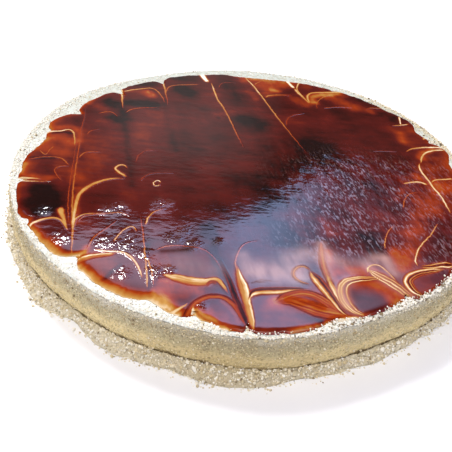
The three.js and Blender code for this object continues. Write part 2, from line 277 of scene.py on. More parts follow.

# The curls of cream that the knife pulled along, from the left round by the front to the back
# The last of them is a painted reflection, not cream
CREAM_CURLS_AND_GLINT = (
    # left cells
    (((-131, 16), (-125, 18.5), (-120, 20), (-115.5, 22.5), (-112, 20), (-109, 12), (-107, 4)),
     (1.6, 0.7), (0.95, 0.62)),
    (((-127, -4), (-122, -8.6), (-120.5, -3), (-119, 2)), (0.7, 0.5), (0.62, 0.56)),
    (((-131, -16), (-122, -11.5), (-115, -10.5), (-110, -12.5), (-105, -18)), (0.7, 0.9), (0.5, 0.56)),
    (((-105, -18.5), (-110, -20), (-112, -24), (-110, -28.5), (-105, -35)), (0.6, 0.6), (0.54, 0.5)),
    (((-133, -36), (-126, -35), (-117, -34.5)), (2.4, 0.5), (1, 0.66)),
    (((-132, -39), (-124, -38), (-116, -37), (-111, -36)), (1.2, 0.4), (0.98, 0.6)),
    (((-113, -82), (-109, -75), (-103, -70.5), (-98, -70), (-94, -73), (-89.5, -80)),
     (2.0, 1.0), (0.86, 0.68)),
    (((-112, -77), (-106, -71), (-100, -68.6)), (0.5, 0.5), (0.46, 0.4)),
    (((-98.5, -59.5), (-98, -63), (-95.5, -68), (-91, -77)), (4.4, 0.8), (0.74, 0.66)),
    # between the first two knife lines
    (((-102, 47), (-97, 50.2), (-93, 50), (-88, 45)), (0.9, 0.6), (0.58, 0.46)),
    (((-103, 19), (-101.5, 23.5), (-97, 27.5)), (0.7, 0.4), (0.52, 0.46)),
    (((-101, -9), (-100, -4), (-96.5, -1), (-90, 0)), (1.0, 0.5), (0.58, 0.44)),
    (((-69.5, -24.5), (-74.5, -20.5), (-77.6, -16.8), (-76, -13), (-73, -12.6), (-70.6, -15.5)),
     (1.9, 1.0), (0.76, 0.72)),
    (((-70, -26.2), (-78, -28), (-85, -33), (-90, -40), (-92, -47), (-91.6, -55), (-90, -66), (-87.5, -78)),
     (0.8, 2.6, 2.0, 1.6), (0.66, 0.76)),
    (((-88, -75), (-88.2, -68), (-84.5, -63.8), (-75, -61.5), (-66, -59.6), (-60.5, -61.5)),
     (0.8, 0.6), (0.8, 0.66)),
    (((-87, -70), (-85, -66), (-80, -63.5), (-72, -62)), (0.5, 0.4), (0.72, 0.6)),
    (((-76.5, -92), (-75.5, -83), (-71, -74.5), (-66.5, -66.5)), (0.8, 0.5), (0.6, 0.5)),
    (((-65, -85), (-63, -77.5), (-60, -72), (-57, -71), (-54.5, -74.5)), (0.9, 0.8), (0.84, 0.84)),
    (((-73, -92), (-66, -92.8), (-59, -92.4), (-53.5, -95.5), (-49, -102), (-45.5, -110)),
     (1.4, 1.0), (0.98, 0.84)),
    (((-57, -93.8), (-52.5, -97.5), (-48.5, -104)), (0.5, 0.5), (0.66, 0.6)),
    # third and fourth cells at the front
    (((-51, -68), (-50.4, -61), (-48, -55.5), (-43, -52)), (1.2, 0.5), (0.84, 0.6)),
    (((-43, -89), (-37, -84), (-27, -82.4), (-18, -84), (-12, -90), (-7, -99)), (0.7, 0.5), (0.6, 0.4)),
    (((-34, -130), (-29, -131.5), (-23.5, -127), (-21.5, -124)), (3.0, 0.7), (1, 0.7)),
    (((-18.8, -127), (-17.8, -132), (-14, -136), (-5.5, -139)), (1.0, 2.2), (0.9, 1)),
    (((10, -72), (3, -76), (0, -83), (-1, -92), (1, -103)), (0.5, 0.9), (0.46, 0.62)),
    (((46, -127), (54, -124), (64, -122)), (1.8, 1.4), (0.98, 0.9)),
    # loops at the front right
    (((66, -90), (66.6, -86), (69.5, -83), (73, -83.6), (77, -89), (80, -95)), (1.2, 0.8), (0.92, 0.7)),
    (((77, -69), (77.5, -63), (80, -54), (84, -47)), (0.8, 0.5), (0.78, 0.6)),
    (((92.5, -80.5), (92, -76), (94, -69), (98, -61), (104, -52), (109.5, -41)), (1.0, 0.7), (0.92, 0.72)),
    # right cells
    (((101, 34), (104.5, 38), (110, 40.6), (118, 43), (128, 44)), (1.0, 2.0), (0.66, 0.98)),
    (((128, 41), (121, 39.6), (115, 36), (111, 30), (109, 22)), (1.6, 1.2), (0.86, 0.72)),
    (((112, 0), (115, 3.4), (120, 5), (127, 7)), (0.9, 1.6), (0.74, 0.8)),
    (((94, -4), (100, -1.4), (105, -0.4), (109.6, -2.4)), (1.0, 2.0), (0.7, 0.9)),
    (((91.5, -30), (93.4, -21), (97, -14.5), (103, -11)), (0.8, 0.5), (0.62, 0.5)),
    (((115, 52), (117, 56), (119.5, 59)), (1.2, 1.4), (0.8, 0.9)),
    (((80, 31.6), (88, 33), (95, 33.6)), (0.5, 0.4), (0.5, 0.42)),
    # back cells
    (((96, 68), (102, 69.4), (108, 72)), (0.8, 1.2), (0.7, 0.9)),
    (((80, 88.4), (84, 91), (93, 92)), (0.6, 0.8), (0.6, 0.66)),
    (((50, 84.4), (60, 88), (70, 89)), (0.8, 0.5), (0.56, 0.42)),
    (((40, 90), (38.6, 99), (40.6, 105), (46, 107.4), (57, 110), (65, 112)), (1.4, 2.2), (0.72, 0.74)),
    (((45, 82), (45, 89), (47, 96), (51.5, 102.6), (57, 106)), (0.5, 0.9), (0.46, 0.78)),
    (((8.6, 92), (10.6, 95.4), (16, 97.6), (25, 99)), (1.4, 0.8), (0.64, 0.5)),
    (((0, 111), (2, 115), (6, 119)), (1.0, 0.6), (0.62, 0.5)),
    (((24, 54), (24, 62), (28, 69.6), (36, 74)), (0.8, 0.5), (0.42, 0.36)),
    (((-26, 100), (-25, 106), (-22, 110), (-14, 111)), (0.7, 0.5), (0.4, 0.4)),
    (((-62, 84), (-62, 92), (-59.4, 97), (-52, 100), (-40, 103)), (0.9, 0.8), (0.58, 0.62)),
    (((-92, 81), (-86, 85), (-80, 88), (-73, 90.2), (-68, 86), (-63.5, 78), (-60.5, 70)),
     (1.5, 0.6), (0.84, 0.46)),
    (((-84.5, 51), (-82.5, 55.6), (-77, 59.4), (-70, 61.4), (-63.5, 62.4)), (0.9, 0.6), (0.54, 0.44)),
    (((-67, -8), (-66.6, 0), (-63, 6), (-56, 8)), (0.8, 0.4), (0.36, 0.32)),
    (((-61, -27), (-58.6, -21), (-53, -17.4), (-43, -15.6)), (0.8, 0.4), (0.36, 0.32)),
    # a painted reflection: the pale ring of light on a bubble in the glaze
    (((-49, -28), (-49.6, -26.2), (-51, -25.2), (-52.4, -26.2), (-53, -28), (-52.4, -29.8), (-51, -30.8),
      (-49.6, -29.8), (-49, -28)), (0.8, 0.8), (0.95, 0.95)),
)

# Broad feathers of cream and glaze at the front: plan points, widths along them in millimetres, and the
# tones of their stripes from the right-hand side of the way to the left-hand side
FEATHER_BANDS = (
    # corner of the petal at the front left
    (((-85, -105), (-78, -100.8), (-73.3, -97.8), (-66.7, -95.6), (-61, -93.9)), (4.6, 5.0, 4.2, 3.0, 1.6),
     (0.36, 0.5, 0.6, 0.68, 0.84, 0.62)),
    # tan feather in the third cell, and the small loop at its end
    (((-35, -106.4), (-28, -107.8), (-22, -108.9), (-15, -108.4), (-10, -105.8), (-6.6, -109),
      (-2.6, -116)), (4.4, 5.6, 6.6, 5.6, 2.8, 2.0, 1.2), (0.44, 0.62, 0.68, 0.72, 0.8, 0.62)),
    (((-14, -111.5), (-12.8, -108.2), (-10.8, -107.4), (-9.2, -110)), (1.2, 1.6, 1.2), (0.3, 0.44, 0.3)),
    # outline of the heart-shaped petal, and the thin glaze along its edge
    (((-23.3, -138.5), (-21.7, -132.4), (-18.9, -125), (-15.4, -120.6), (-11, -118), (-5.4, -118),
      (-1, -121), (2.4, -125.4), (5.2, -131), (7.6, -137)),
     (3.0, 2.8, 2.8, 3.2, 2.4), (0.46, 0.42, 0.28, 0.12)),
    (((-18.6, -126), (-17.6, -131), (-13.5, -134.8), (-7, -137.2), (1, -138.4)), (1.4, 3.8, 4.4, 3.6, 1.8),
     (1.0, 1.0, 0.88, 0.7, 0.44)),
    # dark valley that the knife left, and the stem beside it
    (((-9, -91), (-5.6, -100), (-2.4, -108), (0.4, -117), (4.2, -126.4), (8, -137)),
     (0.8, 2.0, 2.6, 2.8, 2.4), (0.3, 0.1, 0.04, 0.08, 0.34)),
    (((-0.8, -91), (0.4, -97.5), (1.8, -103), (3.5, -108.6), (4.9, -114), (6.1, -119.5), (7.3, -125),
      (8.5, -130.6), (9.9, -137)),
     (0.6, 1.6, 3.6, 5.4, 5.0, 4.0, 4.0, 3.4, 3.6), (0.3, 0.5, 0.62, 0.7, 0.8, 0.92, 0.7)),
    # top of the petal beside it
    (((6.8, -117.6), (8.6, -113.6), (12, -111.6), (16, -110.8), (20, -110), (28, -108.4), (36, -107)),
     (2.0, 4.6, 4.8, 4.6, 4.0, 2.8, 1.4), (0.42, 0.72, 0.82, 0.66, 0.1, 0.05, 0.3)),
    # the two sides of the orange leaf in that petal
    (((19.5, -117.5), (24, -113.6), (29, -110.8), (34.4, -109.6), (40, -111.4), (45, -115.2), (50, -120.5)),
     (2.0, 5.6, 5.0, 4.4, 5.0, 5.4, 3.0), (0.4, 0.44, 0.5, 0.46, 0.4, 0.1)),
    (((20, -118), (27, -117), (34, -119.3), (40, -121.3), (46, -122.3), (52, -122.8)),
     (2.0, 4.6, 6.6, 8.6, 8.0, 4.0), (0.14, 0.4, 0.46, 0.36, 0.48, 0.42, 0.4)),
    # ring of the feather's head, the feather and its stem
    (((37, -92.4), (33.9, -89.4), (30.6, -90.6), (28.3, -94.4), (28.9, -98.8), (32.2, -102), (36.4, -103)),
     (1.2, 1.4, 1.2), (0.06, 0.12, 0.78, 0.5)),
    (((36.6, -93), (40.2, -99.4), (43.9, -106), (47.2, -112.4), (51, -119.6), (54, -122.6)),
     (3.4, 6.2, 6.0, 5.0, 3.0, 2.2), (0.14, 0.56, 0.78, 0.92, 0.8, 0.5, 0.1, 0.05, 0.42, 0.3)),
    (((43.3, -66), (42.9, -76), (43.2, -86), (44.8, -94), (47.4, -103.4)),
     (1.0, 2.6, 3.4, 3.4, 2.4), (0.06, 0.46, 0.56, 0.5, 0.34)),
    (((44.6, -93), (47.2, -102.8), (51, -112.8), (54.4, -118.2), (60, -120.8)),
     (1.8, 3.2, 3.2, 3.0, 2.0), (0.06, 0.6, 0.8, 0.86, 0.7, 0.46)),
    # loops round the next petal
    (((72.2, -93.6), (65, -94.6), (58.9, -96.2), (54.6, -98.8), (52.6, -103), (52.4, -108.4), (54, -114.4),
      (57.4, -118.6), (61, -120.2)),
     (2.6, 4.2, 5.6, 6.2, 6.0, 4.6), (0.3, 0.84, 0.5, 0.8, 0.4, 0.14, 0.88, 0.4)),
    (((66.6, -87.4), (71.4, -91.6), (76.4, -95.2), (80.6, -99.2), (84.6, -103.4), (88.4, -105.8)),
     (3.4, 5.6, 5.6, 4.6, 3.0), (0.94, 0.66, 0.2, 0.86, 0.6, 0.2, 0.86, 0.4)),
    # loops round the last petal at the front right
    (((106, -81.4), (97, -84), (90.4, -87.2), (86.4, -91.4), (86, -96.4), (88.6, -101), (93, -102.2)),
     (2.6, 4.8, 5.6, 5.2, 3.0), (0.36, 0.7, 0.84, 0.36, 0.06, 0.82, 0.16, 0.64)),
    (((111, -77), (104.4, -78.2), (98.9, -80.2), (92.6, -81.1)), (5.6, 4.4, 3.0, 1.2),
     (0.86, 0.5, 0.1, 0.2, 0.9, 0.66)),
)

# Places where the glaze's skin dried dull: plan points and reach in millimetres, and how dull
GLAZE_DULL = (
    (((62, -98), (70, -99), (77, -102.5), (80, -107)), 6.5, 0.95),
    (((26, -114.5), (34, -120), (44, -121)), 3.6, 0.8),
    (((26, -115.6), (34, -114.6), (42, -117)), 3.4, 0.95),
    (((82, -70), (86, -80)), 6, 0.7),
    (((56, -84), (64, -90)), 4, 0.6),
    (((-76, -106), (-60, -115), (-45, -120)), 4.5, 0.6),
    (((-104, -90), (-88, -97)), 4, 0.6),
    (((-33, -123), (-24, -121)), 5, 0.6),
    (((-39, -88.5), (-33, -87), (-26, -85)), 2.2, 0.9),
    (((96, -92), (104, -88)), 4, 0.4),
)


class Noise:
    """Patterns of noise: strength, size in millimetres in two directions, seed and layers."""

    # Tone of the glaze: in x and y, then across and along the knife's way
    BLOTCHES = (0.2, 22, 16, 9, 4)
    SPATULA_STREAKS = (0.11, 16, 3.5, 15, 3)
    KNIFE_STREAKS = (0.18, 14, 60, 3, 4)
    UNEVEN_STREAKS = (0.14, 1.7, 10, 121, 2)
    MILK_AND_SHEEN_STREAKS = (1, 2.5, 9, 111, 3)
    # How far the outlines of washes drift, in millimetres, and how uneven washes are
    WASH_DRIFT_X = (2.2, 9, 9, 91, 2)
    WASH_DRIFT_Y = (2.2, 9, 9, 95, 2)
    WASH_BLOTCHES = (0.6, 5, 4, 33, 3)
    WASH_STREAKS = (0.5, 1.6, 9, 37, 2)
    # How uneven the pale band along the edge is, by degrees
    EDGE_BAND = (0.8, 4, 1, 21, 2)
    # How far lines waver, in millimetres, and their tone along them and across and along their fibres
    LINE_WAVER_X = (0.6, 2.4, 2.4, 141, 2)
    LINE_WAVER_Y = (0.6, 2.4, 2.4, 145, 2)
    LINE_PATCHES = (0.2, 4, 1, 41, 2)
    FIBRES = (0.34, 0.9, 16, 131, 2)
    # Shape of the glaze: waves along its edge in millimetres, and shares of the heights that a user can set
    EDGE_WAVES = (0.9, 4, 1, 51, 3)
    EDGE_TEETH = (0.8, 1.6, 1, 53, 2)
    BROAD_RIPPLES = (1.2, 18, 9, 61, 2)
    FINE_RIPPLES = (0.9, 6, 3.6, 71, 2)
    RIDGES = (1, 2.4, 7, 101, 1)
    DIMPLES = (1, 2.6, 2.4, 81, 1)


def linear(hex_colour):
    """An sRGB hex colour as linear red, green and blue."""
    parts = [int(hex_colour[i:i + 2], 16) / 255 for i in (1, 3, 5)]
    return tuple(c / 12.92 if c <= 0.04045 else ((c + 0.055) / 1.055) ** 2.4 for c in parts)


def colour_property(name, hex_colour, description):
    """A colour that a user can change, from its sRGB hex default."""
    return FloatVectorProperty(
        name=name, description=description, default=linear(hex_colour), subtype="COLOR", min=0, max=1
    )


def length_property(name, length, description):
    """A length that a user can change, from its default in millimetres."""
    return FloatProperty(
        name=name, description=description, default=length * MM, unit="LENGTH", subtype="DISTANCE"
    )


class GlazeSettings(bpy.types.PropertyGroup):
    """Colours of the glaze from its deepest to the cream drawn into it, and its surface."""

    deep: colour_property("Deep", "#1c0a07", "Glaze where it lies thickest")
    red: colour_property("Red", "#561711", "Glaze over most of the top")
    orange: colour_property("Orange", "#95340f", "Glaze that the cream shines through")
    amber: colour_property("Amber", "#a8682a", "Thin glaze, and faint cream lines")
    gold: colour_property("Gold", "#bd8d4a", "Cream lines with a skin of glaze")
    pale: colour_property("Pale", "#dfc59c", "Cream lines with a trace of glaze")
    cream: colour_property("Cream", "#f7efdd", "Cream lines that lie bare")
    # Also the colour of the painted sky reflection in the milky patches and flecks
    milky_sheen: colour_property("Milky", "#c2968a", "Glaze that cream was stirred into")
    spacing: length_property("Mesh spacing", 0.86, "Distance between points of the glaze's top")
    ripple: length_property("Ripple height", 0.02, "Height of the ripples that the spatula left")
    ridge: length_property("Ridge height", 0.1, "Height of the ridges at the right, where it set unevenly")
    dimple: length_property("Dimple height", 0.4, "Height of the dimples that sparkle")


class CreamSettings(bpy.types.PropertyGroup):
    """Colours and relief of the white cream."""

    white: colour_property("White", "#e2e6dd", "Smooth cream")
    # Painted shade: the darker cream in the dips of its strokes
    shade: colour_property("Shade", "#ccc8b8", "Cream in the dips of its surface")
    relief: length_property("Relief", 0.5, "Height of the strokes in the cream")


class CrumbSettings(bpy.types.PropertyGroup):
    """Colours, number and size of the biscuit crumbs."""

    dark: colour_property("Dark", "#6f5c45", "Browned specks")
    tan: colour_property("Tan", "#b3a07a", "Baked crumbs")
    sand: colour_property("Sand", "#dccda6", "Most of the crumbs")
    pale: colour_property("Pale", "#f6f2e6", "Floury crumbs")
    size: length_property("Size", 0.75, "Usual width of a crumb")
    relief: length_property("Relief", 0.8, "Depth of the grain in the crumb coat")
    wall_count: IntProperty(name="On the wall", description="Crumbs pressed on the wall", default=9800)
    rim_count: IntProperty(name="On the rim", description="Crumbs on the cream's rim", default=8000)
    heap_count: IntProperty(name="On the heap", description="Crumbs heaped at the foot", default=9500)


class StageSettings(bpy.types.PropertyGroup):
    """Camera, floor and light."""

    focal: FloatProperty(name="Focal length", description="Camera lens, in millimetres", default=55.75)
    distance: length_property("Distance", 444.9, "Camera to the middle of the cake's base")
    elevation: FloatProperty(
        name="Elevation", description="Camera above the floor",
        default=math.radians(35.572), unit="ROTATION", subtype="ANGLE",
    )
    floor: colour_property("Floor", "#f6f6f5", "Plain pale floor")


def add_node(tree, kind, inputs=None, stops=(), **settings):
    """Adds one shader node, with stops for a colour ramp.

    Inputs are set, or linked where a socket is given, or a node, for its first output in use.
    """
    node = tree.nodes.new(kind)
    for name, value in settings.items():
        setattr(node, name, value)
    for place, (position, colour) in enumerate(stops):
        ramp = node.color_ramp.elements
        stop = ramp[place] if place < 2 else ramp.new(position)
        stop.position = position
        stop.color = (*colour, 1)
    for socket, value in (inputs or {}).items():
        if isinstance(value, bpy.types.Node):
            value = next(output for output in value.outputs if output.enabled)
        if isinstance(value, bpy.types.NodeSocket):
            tree.links.new(value, node.inputs[socket])
        else:
            node.inputs[socket].default_value = value
    return node


def new_material(name):
    """A material whose node tree is empty, and the function that adds a node to it."""
    material = bpy.data.materials.new(name)
    material.use_nodes = True
    material.node_tree.nodes.clear()
    return material, partial(add_node, material.node_tree)


def per_mm(size):
    """Texture scale, in metres, whose pattern repeats about every size millimetres."""
    return 1 / (size * MM)


def caramel_glaze_material(name):
    """Boiled caramel and jam glaze, poured and spread: a mirror gloss over a clear dark red-brown.

    The eye gets depth from the tone, which pales where the glaze is thin, and soft broken reflections
    from the spatula's ripples. Pale flecks and, in part, milky patches are painted reflection.
    """
    glaze = bpy.context.scene.cake_glaze
    material, add = new_material(name)
    place = add("ShaderNodeTexCoord").outputs["Object"]
    tone = add("ShaderNodeAttribute", attribute_name="tone").outputs["Fac"]
    mottle = add(
        "ShaderNodeTexNoise", {"Vector": place, "Scale": per_mm(4), "Detail": 5, "Roughness": 0.7}
    )
    mottled = add("ShaderNodeMath", {0: mottle, 1: 0.1, 2: -0.05}, operation="MULTIPLY_ADD")
    mixed = add("ShaderNodeMath", {0: tone, 1: mottled}, operation="ADD")
    colour = add(
        "ShaderNodeValToRGB", {"Fac": mixed},
        stops=(
            (0.0, glaze.deep), (0.2, glaze.red), (0.42, glaze.orange),
            (0.57, glaze.amber), (0.72, glaze.gold), (0.86, glaze.pale), (1.0, glaze.cream),
        ),
    )
    # Cream stirred into the glaze clouds it, partly a painted sky reflection, but not the drawn lines
    milky_sheen = (*glaze.milky_sheen, 1)
    milk_and_sheen = add("ShaderNodeAttribute", attribute_name="milk_and_sheen").outputs["Fac"]
    off_lines = add("ShaderNodeMapRange", {"Value": tone, "From Min": 0.95, "From Max": 0.55})
    clouded = add("ShaderNodeMath", {0: milk_and_sheen, 1: off_lines}, operation="MULTIPLY")
    colour = add("ShaderNodeMix", {"Factor": clouded, "A": colour, "B": milky_sheen}, data_type="RGBA")
    # Painted reflection: where the glaze set unevenly, short pale flecks of sky reflection lie along the
    # knife's way, in patches
    rough = add("ShaderNodeAttribute", attribute_name="rough").outputs["Fac"]
    uneven = add("ShaderNodeMath", {0: rough, 1: 2}, operation="POWER")
    along_knife = add(
        "ShaderNodeMapping",
        {"Vector": place, "Rotation": (0, 0, KNIFE_BEARING), "Scale": (3, 1, 1)}, vector_type="TEXTURE",
    )
    streaks = add("ShaderNodeTexNoise", {"Vector": along_knife, "Scale": per_mm(1.1), "Detail": 2})
    sheen_specks = add("ShaderNodeMapRange", {"Value": streaks, "From Min": 0.52, "From Max": 0.64})
    blotches = add("ShaderNodeTexNoise", {"Vector": place, "Scale": per_mm(14), "Detail": 2})
    patches = add(
        "ShaderNodeMapRange", {"Value": blotches, "From Min": 0.38, "From Max": 0.6, "To Min": 0.12}
    )
    sheen_flecks = add("ShaderNodeMath", {0: sheen_specks, 1: patches}, operation="MULTIPLY")
    sheen_flecked = add("ShaderNodeMath", {0: sheen_flecks, 1: uneven}, operation="MULTIPLY")
    paler = add("ShaderNodeMath", {0: sheen_flecked, 1: 0.16}, operation="MULTIPLY")
    colour = add("ShaderNodeMix", {"Factor": paler, "A": colour, "B": milky_sheen}, data_type="RGBA")
    # Bare cream is duller than glaze, and so is glaze that has dried
    gloss = add(
        "ShaderNodeMapRange",
        {"Value": tone, "From Min": 0.5, "From Max": 0.8, "To Min": 0.5, "To Max": 0.15},
    )
    dull = add("ShaderNodeAttribute", attribute_name="dull").outputs["Fac"]
    bright = add("ShaderNodeMapRange", {"Value": dull, "To Min": 1, "To Max": 0})
    gloss = add("ShaderNodeMath", {0: gloss, 1: bright}, operation="MULTIPLY")
    # Where it set unevenly, little but the painted reflection flecks shines
    off_sheen_flecks = add("ShaderNodeMath", {0: 1, 1: sheen_flecks}, operation="SUBTRACT")
    lost = add("ShaderNodeMath", {0: off_sheen_flecks, 1: uneven}, operation="MULTIPLY")
    shine = add("ShaderNodeMath", {0: lost, 1: -0.92, 2: 1}, operation="MULTIPLY_ADD")
    gloss = add("ShaderNodeMath", {0: gloss, 1: shine}, operation="MULTIPLY")
    # Spatula ripples run from left to right, so they are long in x and short in y
    stretched = add("ShaderNodeMapping", {"Vector": place, "Scale": (0.5, 1, 1)})
    ripple = add(
        "ShaderNodeTexNoise", {"Vector": stretched, "Scale": per_mm(2.6), "Detail": 2, "Roughness": 0.5}
    )
    # Where the glaze set unevenly they are a little higher, and low ridges run along the knife's way
    ripple_height = add("ShaderNodeMath", {0: rough, 1: 0.06, 2: 0.24}, operation="MULTIPLY_ADD")
    rippled = add("ShaderNodeMath", {0: ripple, 1: ripple_height}, operation="MULTIPLY")
    ridges = add(
        "ShaderNodeTexNoise", {"Vector": along_knife, "Scale": per_mm(1.1), "Detail": 1, "Roughness": 0.5}
    )
    cubed = add("ShaderNodeMath", {0: rough, 1: 3}, operation="POWER")
    ridge_height = add("ShaderNodeMath", {0: cubed, 1: 0.5}, operation="MULTIPLY")
    height = add("ShaderNodeMath", {0: ridges, 1: ridge_height, 2: rippled}, operation="MULTIPLY_ADD")
    # Small bubbles under the skin sparkle
    bubbly = add("ShaderNodeAttribute", attribute_name="bubbly").outputs["Fac"]
    bubbles = add(
        "ShaderNodeTexNoise", {"Vector": place, "Scale": per_mm(1.5), "Detail": 1, "Roughness": 0.5}
    )
    height = add("ShaderNodeMath", {0: bubbles, 1: bubbly, 2: height}, operation="MULTIPLY_ADD")
    bump = add("ShaderNodeBump", {"Height": height, "Strength": 1, "Distance": 0.12 * MM})
    shader = add(
        "ShaderNodeBsdfPrincipled",
        {"Base Color": colour, "Roughness": 0.045, "IOR": 1.47, "Specular IOR Level": gloss,
         "Normal": bump},
    )
    add("ShaderNodeOutputMaterial", {"Surface": shader})
    return material


def white_cream_material():
    """Whipped cream smoothed with a spatula: matt white with a soft glow, and painted shade, warmer and
    darker, in its dips.
    """
    cream = bpy.context.scene.cake_cream
    material, add = new_material("whipped cream")
    place = add("ShaderNodeTexCoord").outputs["Object"]
    strokes = add(
        "ShaderNodeTexNoise", {"Vector": place, "Scale": per_mm(3), "Detail": 5, "Roughness": 0.6}
    )
    # Painted shade: the dips of the strokes are darker and warmer
    colour = add("ShaderNodeValToRGB", {"Fac": strokes}, stops=((0.34, cream.shade), (0.56, cream.white)))
    # Painted shade: the cream greys towards the back
    backwards = add("ShaderNodeSeparateXYZ", {"Vector": place}).outputs["Y"]
    back_shade_share = add("ShaderNodeMapRange", {"Value": backwards, "From Min": -110 * MM, "From Max": 70 * MM})
    painted_back_shade = add("ShaderNodeValToRGB", {"Fac": back_shade_share}, stops=((0, (1, 1, 1)), (1, (0.74, 0.75, 0.7))))
    colour = add(
        "ShaderNodeMix", {"Factor": 1, "A": colour, "B": painted_back_shade}, data_type="RGBA", blend_type="MULTIPLY"
    )
    bump = add("ShaderNodeBump", {"Height": strokes, "Strength": 0.4, "Distance": 0.3 * MM})
    shader = add(
        "ShaderNodeBsdfPrincipled",
        {"Base Color": colour, "Roughness": 0.5, "IOR": 1.4, "Normal": bump, "Subsurface Weight": 0.15,
         "Subsurface Radius": (1.0, 0.8, 0.6), "Subsurface Scale": 1.5 * MM},
    )
    add("ShaderNodeOutputMaterial", {"Surface": shader})
    return material


def crumb_coat_material(name, bands):
    """Biscuit ground to fine crumbs: dry and matt, in bands of colour by share of the wall's height.

    Painted shade darkens it at the front, and the wall's bands hold painted light.
    """
    material, add = new_material(name)
    place = add("ShaderNodeTexCoord").outputs["Object"]
    parts = add("ShaderNodeSeparateXYZ", {"Vector": place}).outputs
    patchy = add("ShaderNodeTexNoise", {"Vector": place, "Scale": per_mm(9), "Detail": 3})
    uneven = add("ShaderNodeMath", {0: patchy, 1: 8 * MM, 2: -4 * MM}, operation="MULTIPLY_ADD")
    level = add("ShaderNodeMath", {0: parts["Z"], 1: uneven}, operation="ADD")
    height = add("ShaderNodeMath", {0: level, 1: WALL_TOP * MM}, operation="DIVIDE")
    band = add(
        "ShaderNodeValToRGB", {"Fac": height},
        stops=[(share, linear(hex_colour)) for share, hex_colour in bands],
    )
    # Painted shade: the coat is a little darker at the front: X and Y as a direction, 0 straight to the
    # front
    forwards = add("ShaderNodeMath", {0: parts["Y"], 1: -1}, operation="MULTIPLY")
    aside = add("ShaderNodeMath", {0: parts["X"], 1: forwards}, operation="ARCTAN2")
    off_front = add("ShaderNodeMath", {0: aside}, operation="ABSOLUTE")
    darkened = add(
        "ShaderNodeValToRGB", {"Fac": off_front}, stops=((0.1, (0.8, 0.77, 0.72)), (0.45, (1, 1, 1)))
    )
    grain = add("ShaderNodeTexVoronoi", {"Vector": place, "Scale": per_mm(0.9), "Randomness": 1})
    fleck = add(
        "ShaderNodeValToRGB", {"Fac": grain.outputs["Color"]},
        stops=((0.08, (0.56, 0.53, 0.48)), (0.3, (0.88, 0.87, 0.85)), (0.75, (1.04, 1.04, 1.04))),
    )
    colour = band
    for tint in (darkened, fleck):
        colour = add(
            "ShaderNodeMix", {"Factor": 1, "A": colour, "B": tint},
            data_type="RGBA", blend_type="MULTIPLY",
        )
    bump = add(
        "ShaderNodeBump",
        {"Height": grain.outputs["Distance"], "Strength": 0.8, "Distance": 0.5 * MM}, invert=True,
    )
    shader = add("ShaderNodeBsdfPrincipled", {"Base Color": colour, "Roughness": 0.9, "Normal": bump})
    add("ShaderNodeOutputMaterial", {"Surface": shader})
    return material


def loose_crumb_material():
    """Broken biscuit: dry, matt bits, each of one shade between browned and floury."""
    crumbs = bpy.context.scene.cake_crumbs
    material, add = new_material("loose biscuit crumb")
    place = add("ShaderNodeTexCoord").outputs["Object"]
    shade = add("ShaderNodeAttribute", attribute_name="shade").outputs["Fac"]
    crust = add("ShaderNodeTexNoise", {"Vector": place, "Scale": per_mm(0.6), "Detail": 2})
    uneven = add("ShaderNodeMath", {0: crust, 1: 0.2, 2: -0.1}, operation="MULTIPLY_ADD")
    mixed = add("ShaderNodeMath", {0: shade, 1: uneven}, operation="ADD")
    colour = add(
        "ShaderNodeValToRGB", {"Fac": mixed},
        stops=((0.0, crumbs.dark), (0.22, crumbs.tan), (0.55, crumbs.sand), (1.0, crumbs.pale)),
    )
    bump = add("ShaderNodeBump", {"Height": crust, "Strength": 0.6, "Distance": 0.2 * MM})
    shader = add("ShaderNodeBsdfPrincipled", {"Base Color": colour, "Roughness": 0.92, "Normal": bump})
    add("ShaderNodeOutputMaterial", {"Surface": shader})
    return material


def floor_material():
    """Painted studio floor: matt, pale and even, with the faintest mottling."""
    stage = bpy.context.scene.cake_stage
    material, add = new_material("studio floor paint")
    place = add("ShaderNodeTexCoord").outputs["Object"]
    mottle = add("ShaderNodeTexNoise", {"Vector": place, "Scale": per_mm(60)})
    dimmer = tuple(0.97 * c for c in stage.floor)
    colour = add("ShaderNodeValToRGB", {"Fac": mottle}, stops=((0.3, dimmer), (0.7, stage.floor)))
    shader = add("ShaderNodeBsdfPrincipled", {"Base Color": colour, "Roughness": 0.8})
    add("ShaderNodeOutputMaterial", {"Surface": shader})
    return material


def take_up(piece):
    """Makes piece the only selected object, and the active one."""
    bpy.ops.object.select_all(action="DESELECT")
    piece.select_set(True)
    bpy.context.view_layer.objects.active = piece


def copy_of_node(node, name):
    """A new piece with the solid's mesh, its loose triangles merged and paired into quads."""
    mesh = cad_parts[node].data.copy()
    mesh.name = name
    mesh.materials.clear()
    piece = bpy.data.objects.new(name, mesh)
    bpy.context.scene.collection.objects.link(piece)
    take_up(piece)
    bpy.ops.mesh.customdata_custom_splitnormals_clear()
    bpy.ops.object.mode_set(mode="EDIT")
    bpy.ops.mesh.select_all(action="SELECT")
    bpy.ops.mesh.remove_doubles(threshold=0.001 * MM)
    most = math.radians(120)
    bpy.ops.mesh.tris_convert_to_quads(face_threshold=most, shape_threshold=most)
    bpy.ops.object.mode_set(mode="OBJECT")
    return piece


def edit_unselected(mode):
    """Goes into edit mode, to select faces or edges, with nothing selected."""
    bpy.ops.object.mode_set(mode="EDIT")
    bpy.ops.mesh.select_mode(type=mode)
    bpy.ops.mesh.select_all(action="DESELECT")


def select_faces(piece, wanted):
    """Goes into edit mode with just the faces selected for which wanted(face) is true."""
    edit_unselected("FACE")
    bpy.ops.object.mode_set(mode="OBJECT")
    for face in piece.data.polygons:
        face.select = wanted(face)
    bpy.ops.object.mode_set(mode="EDIT")


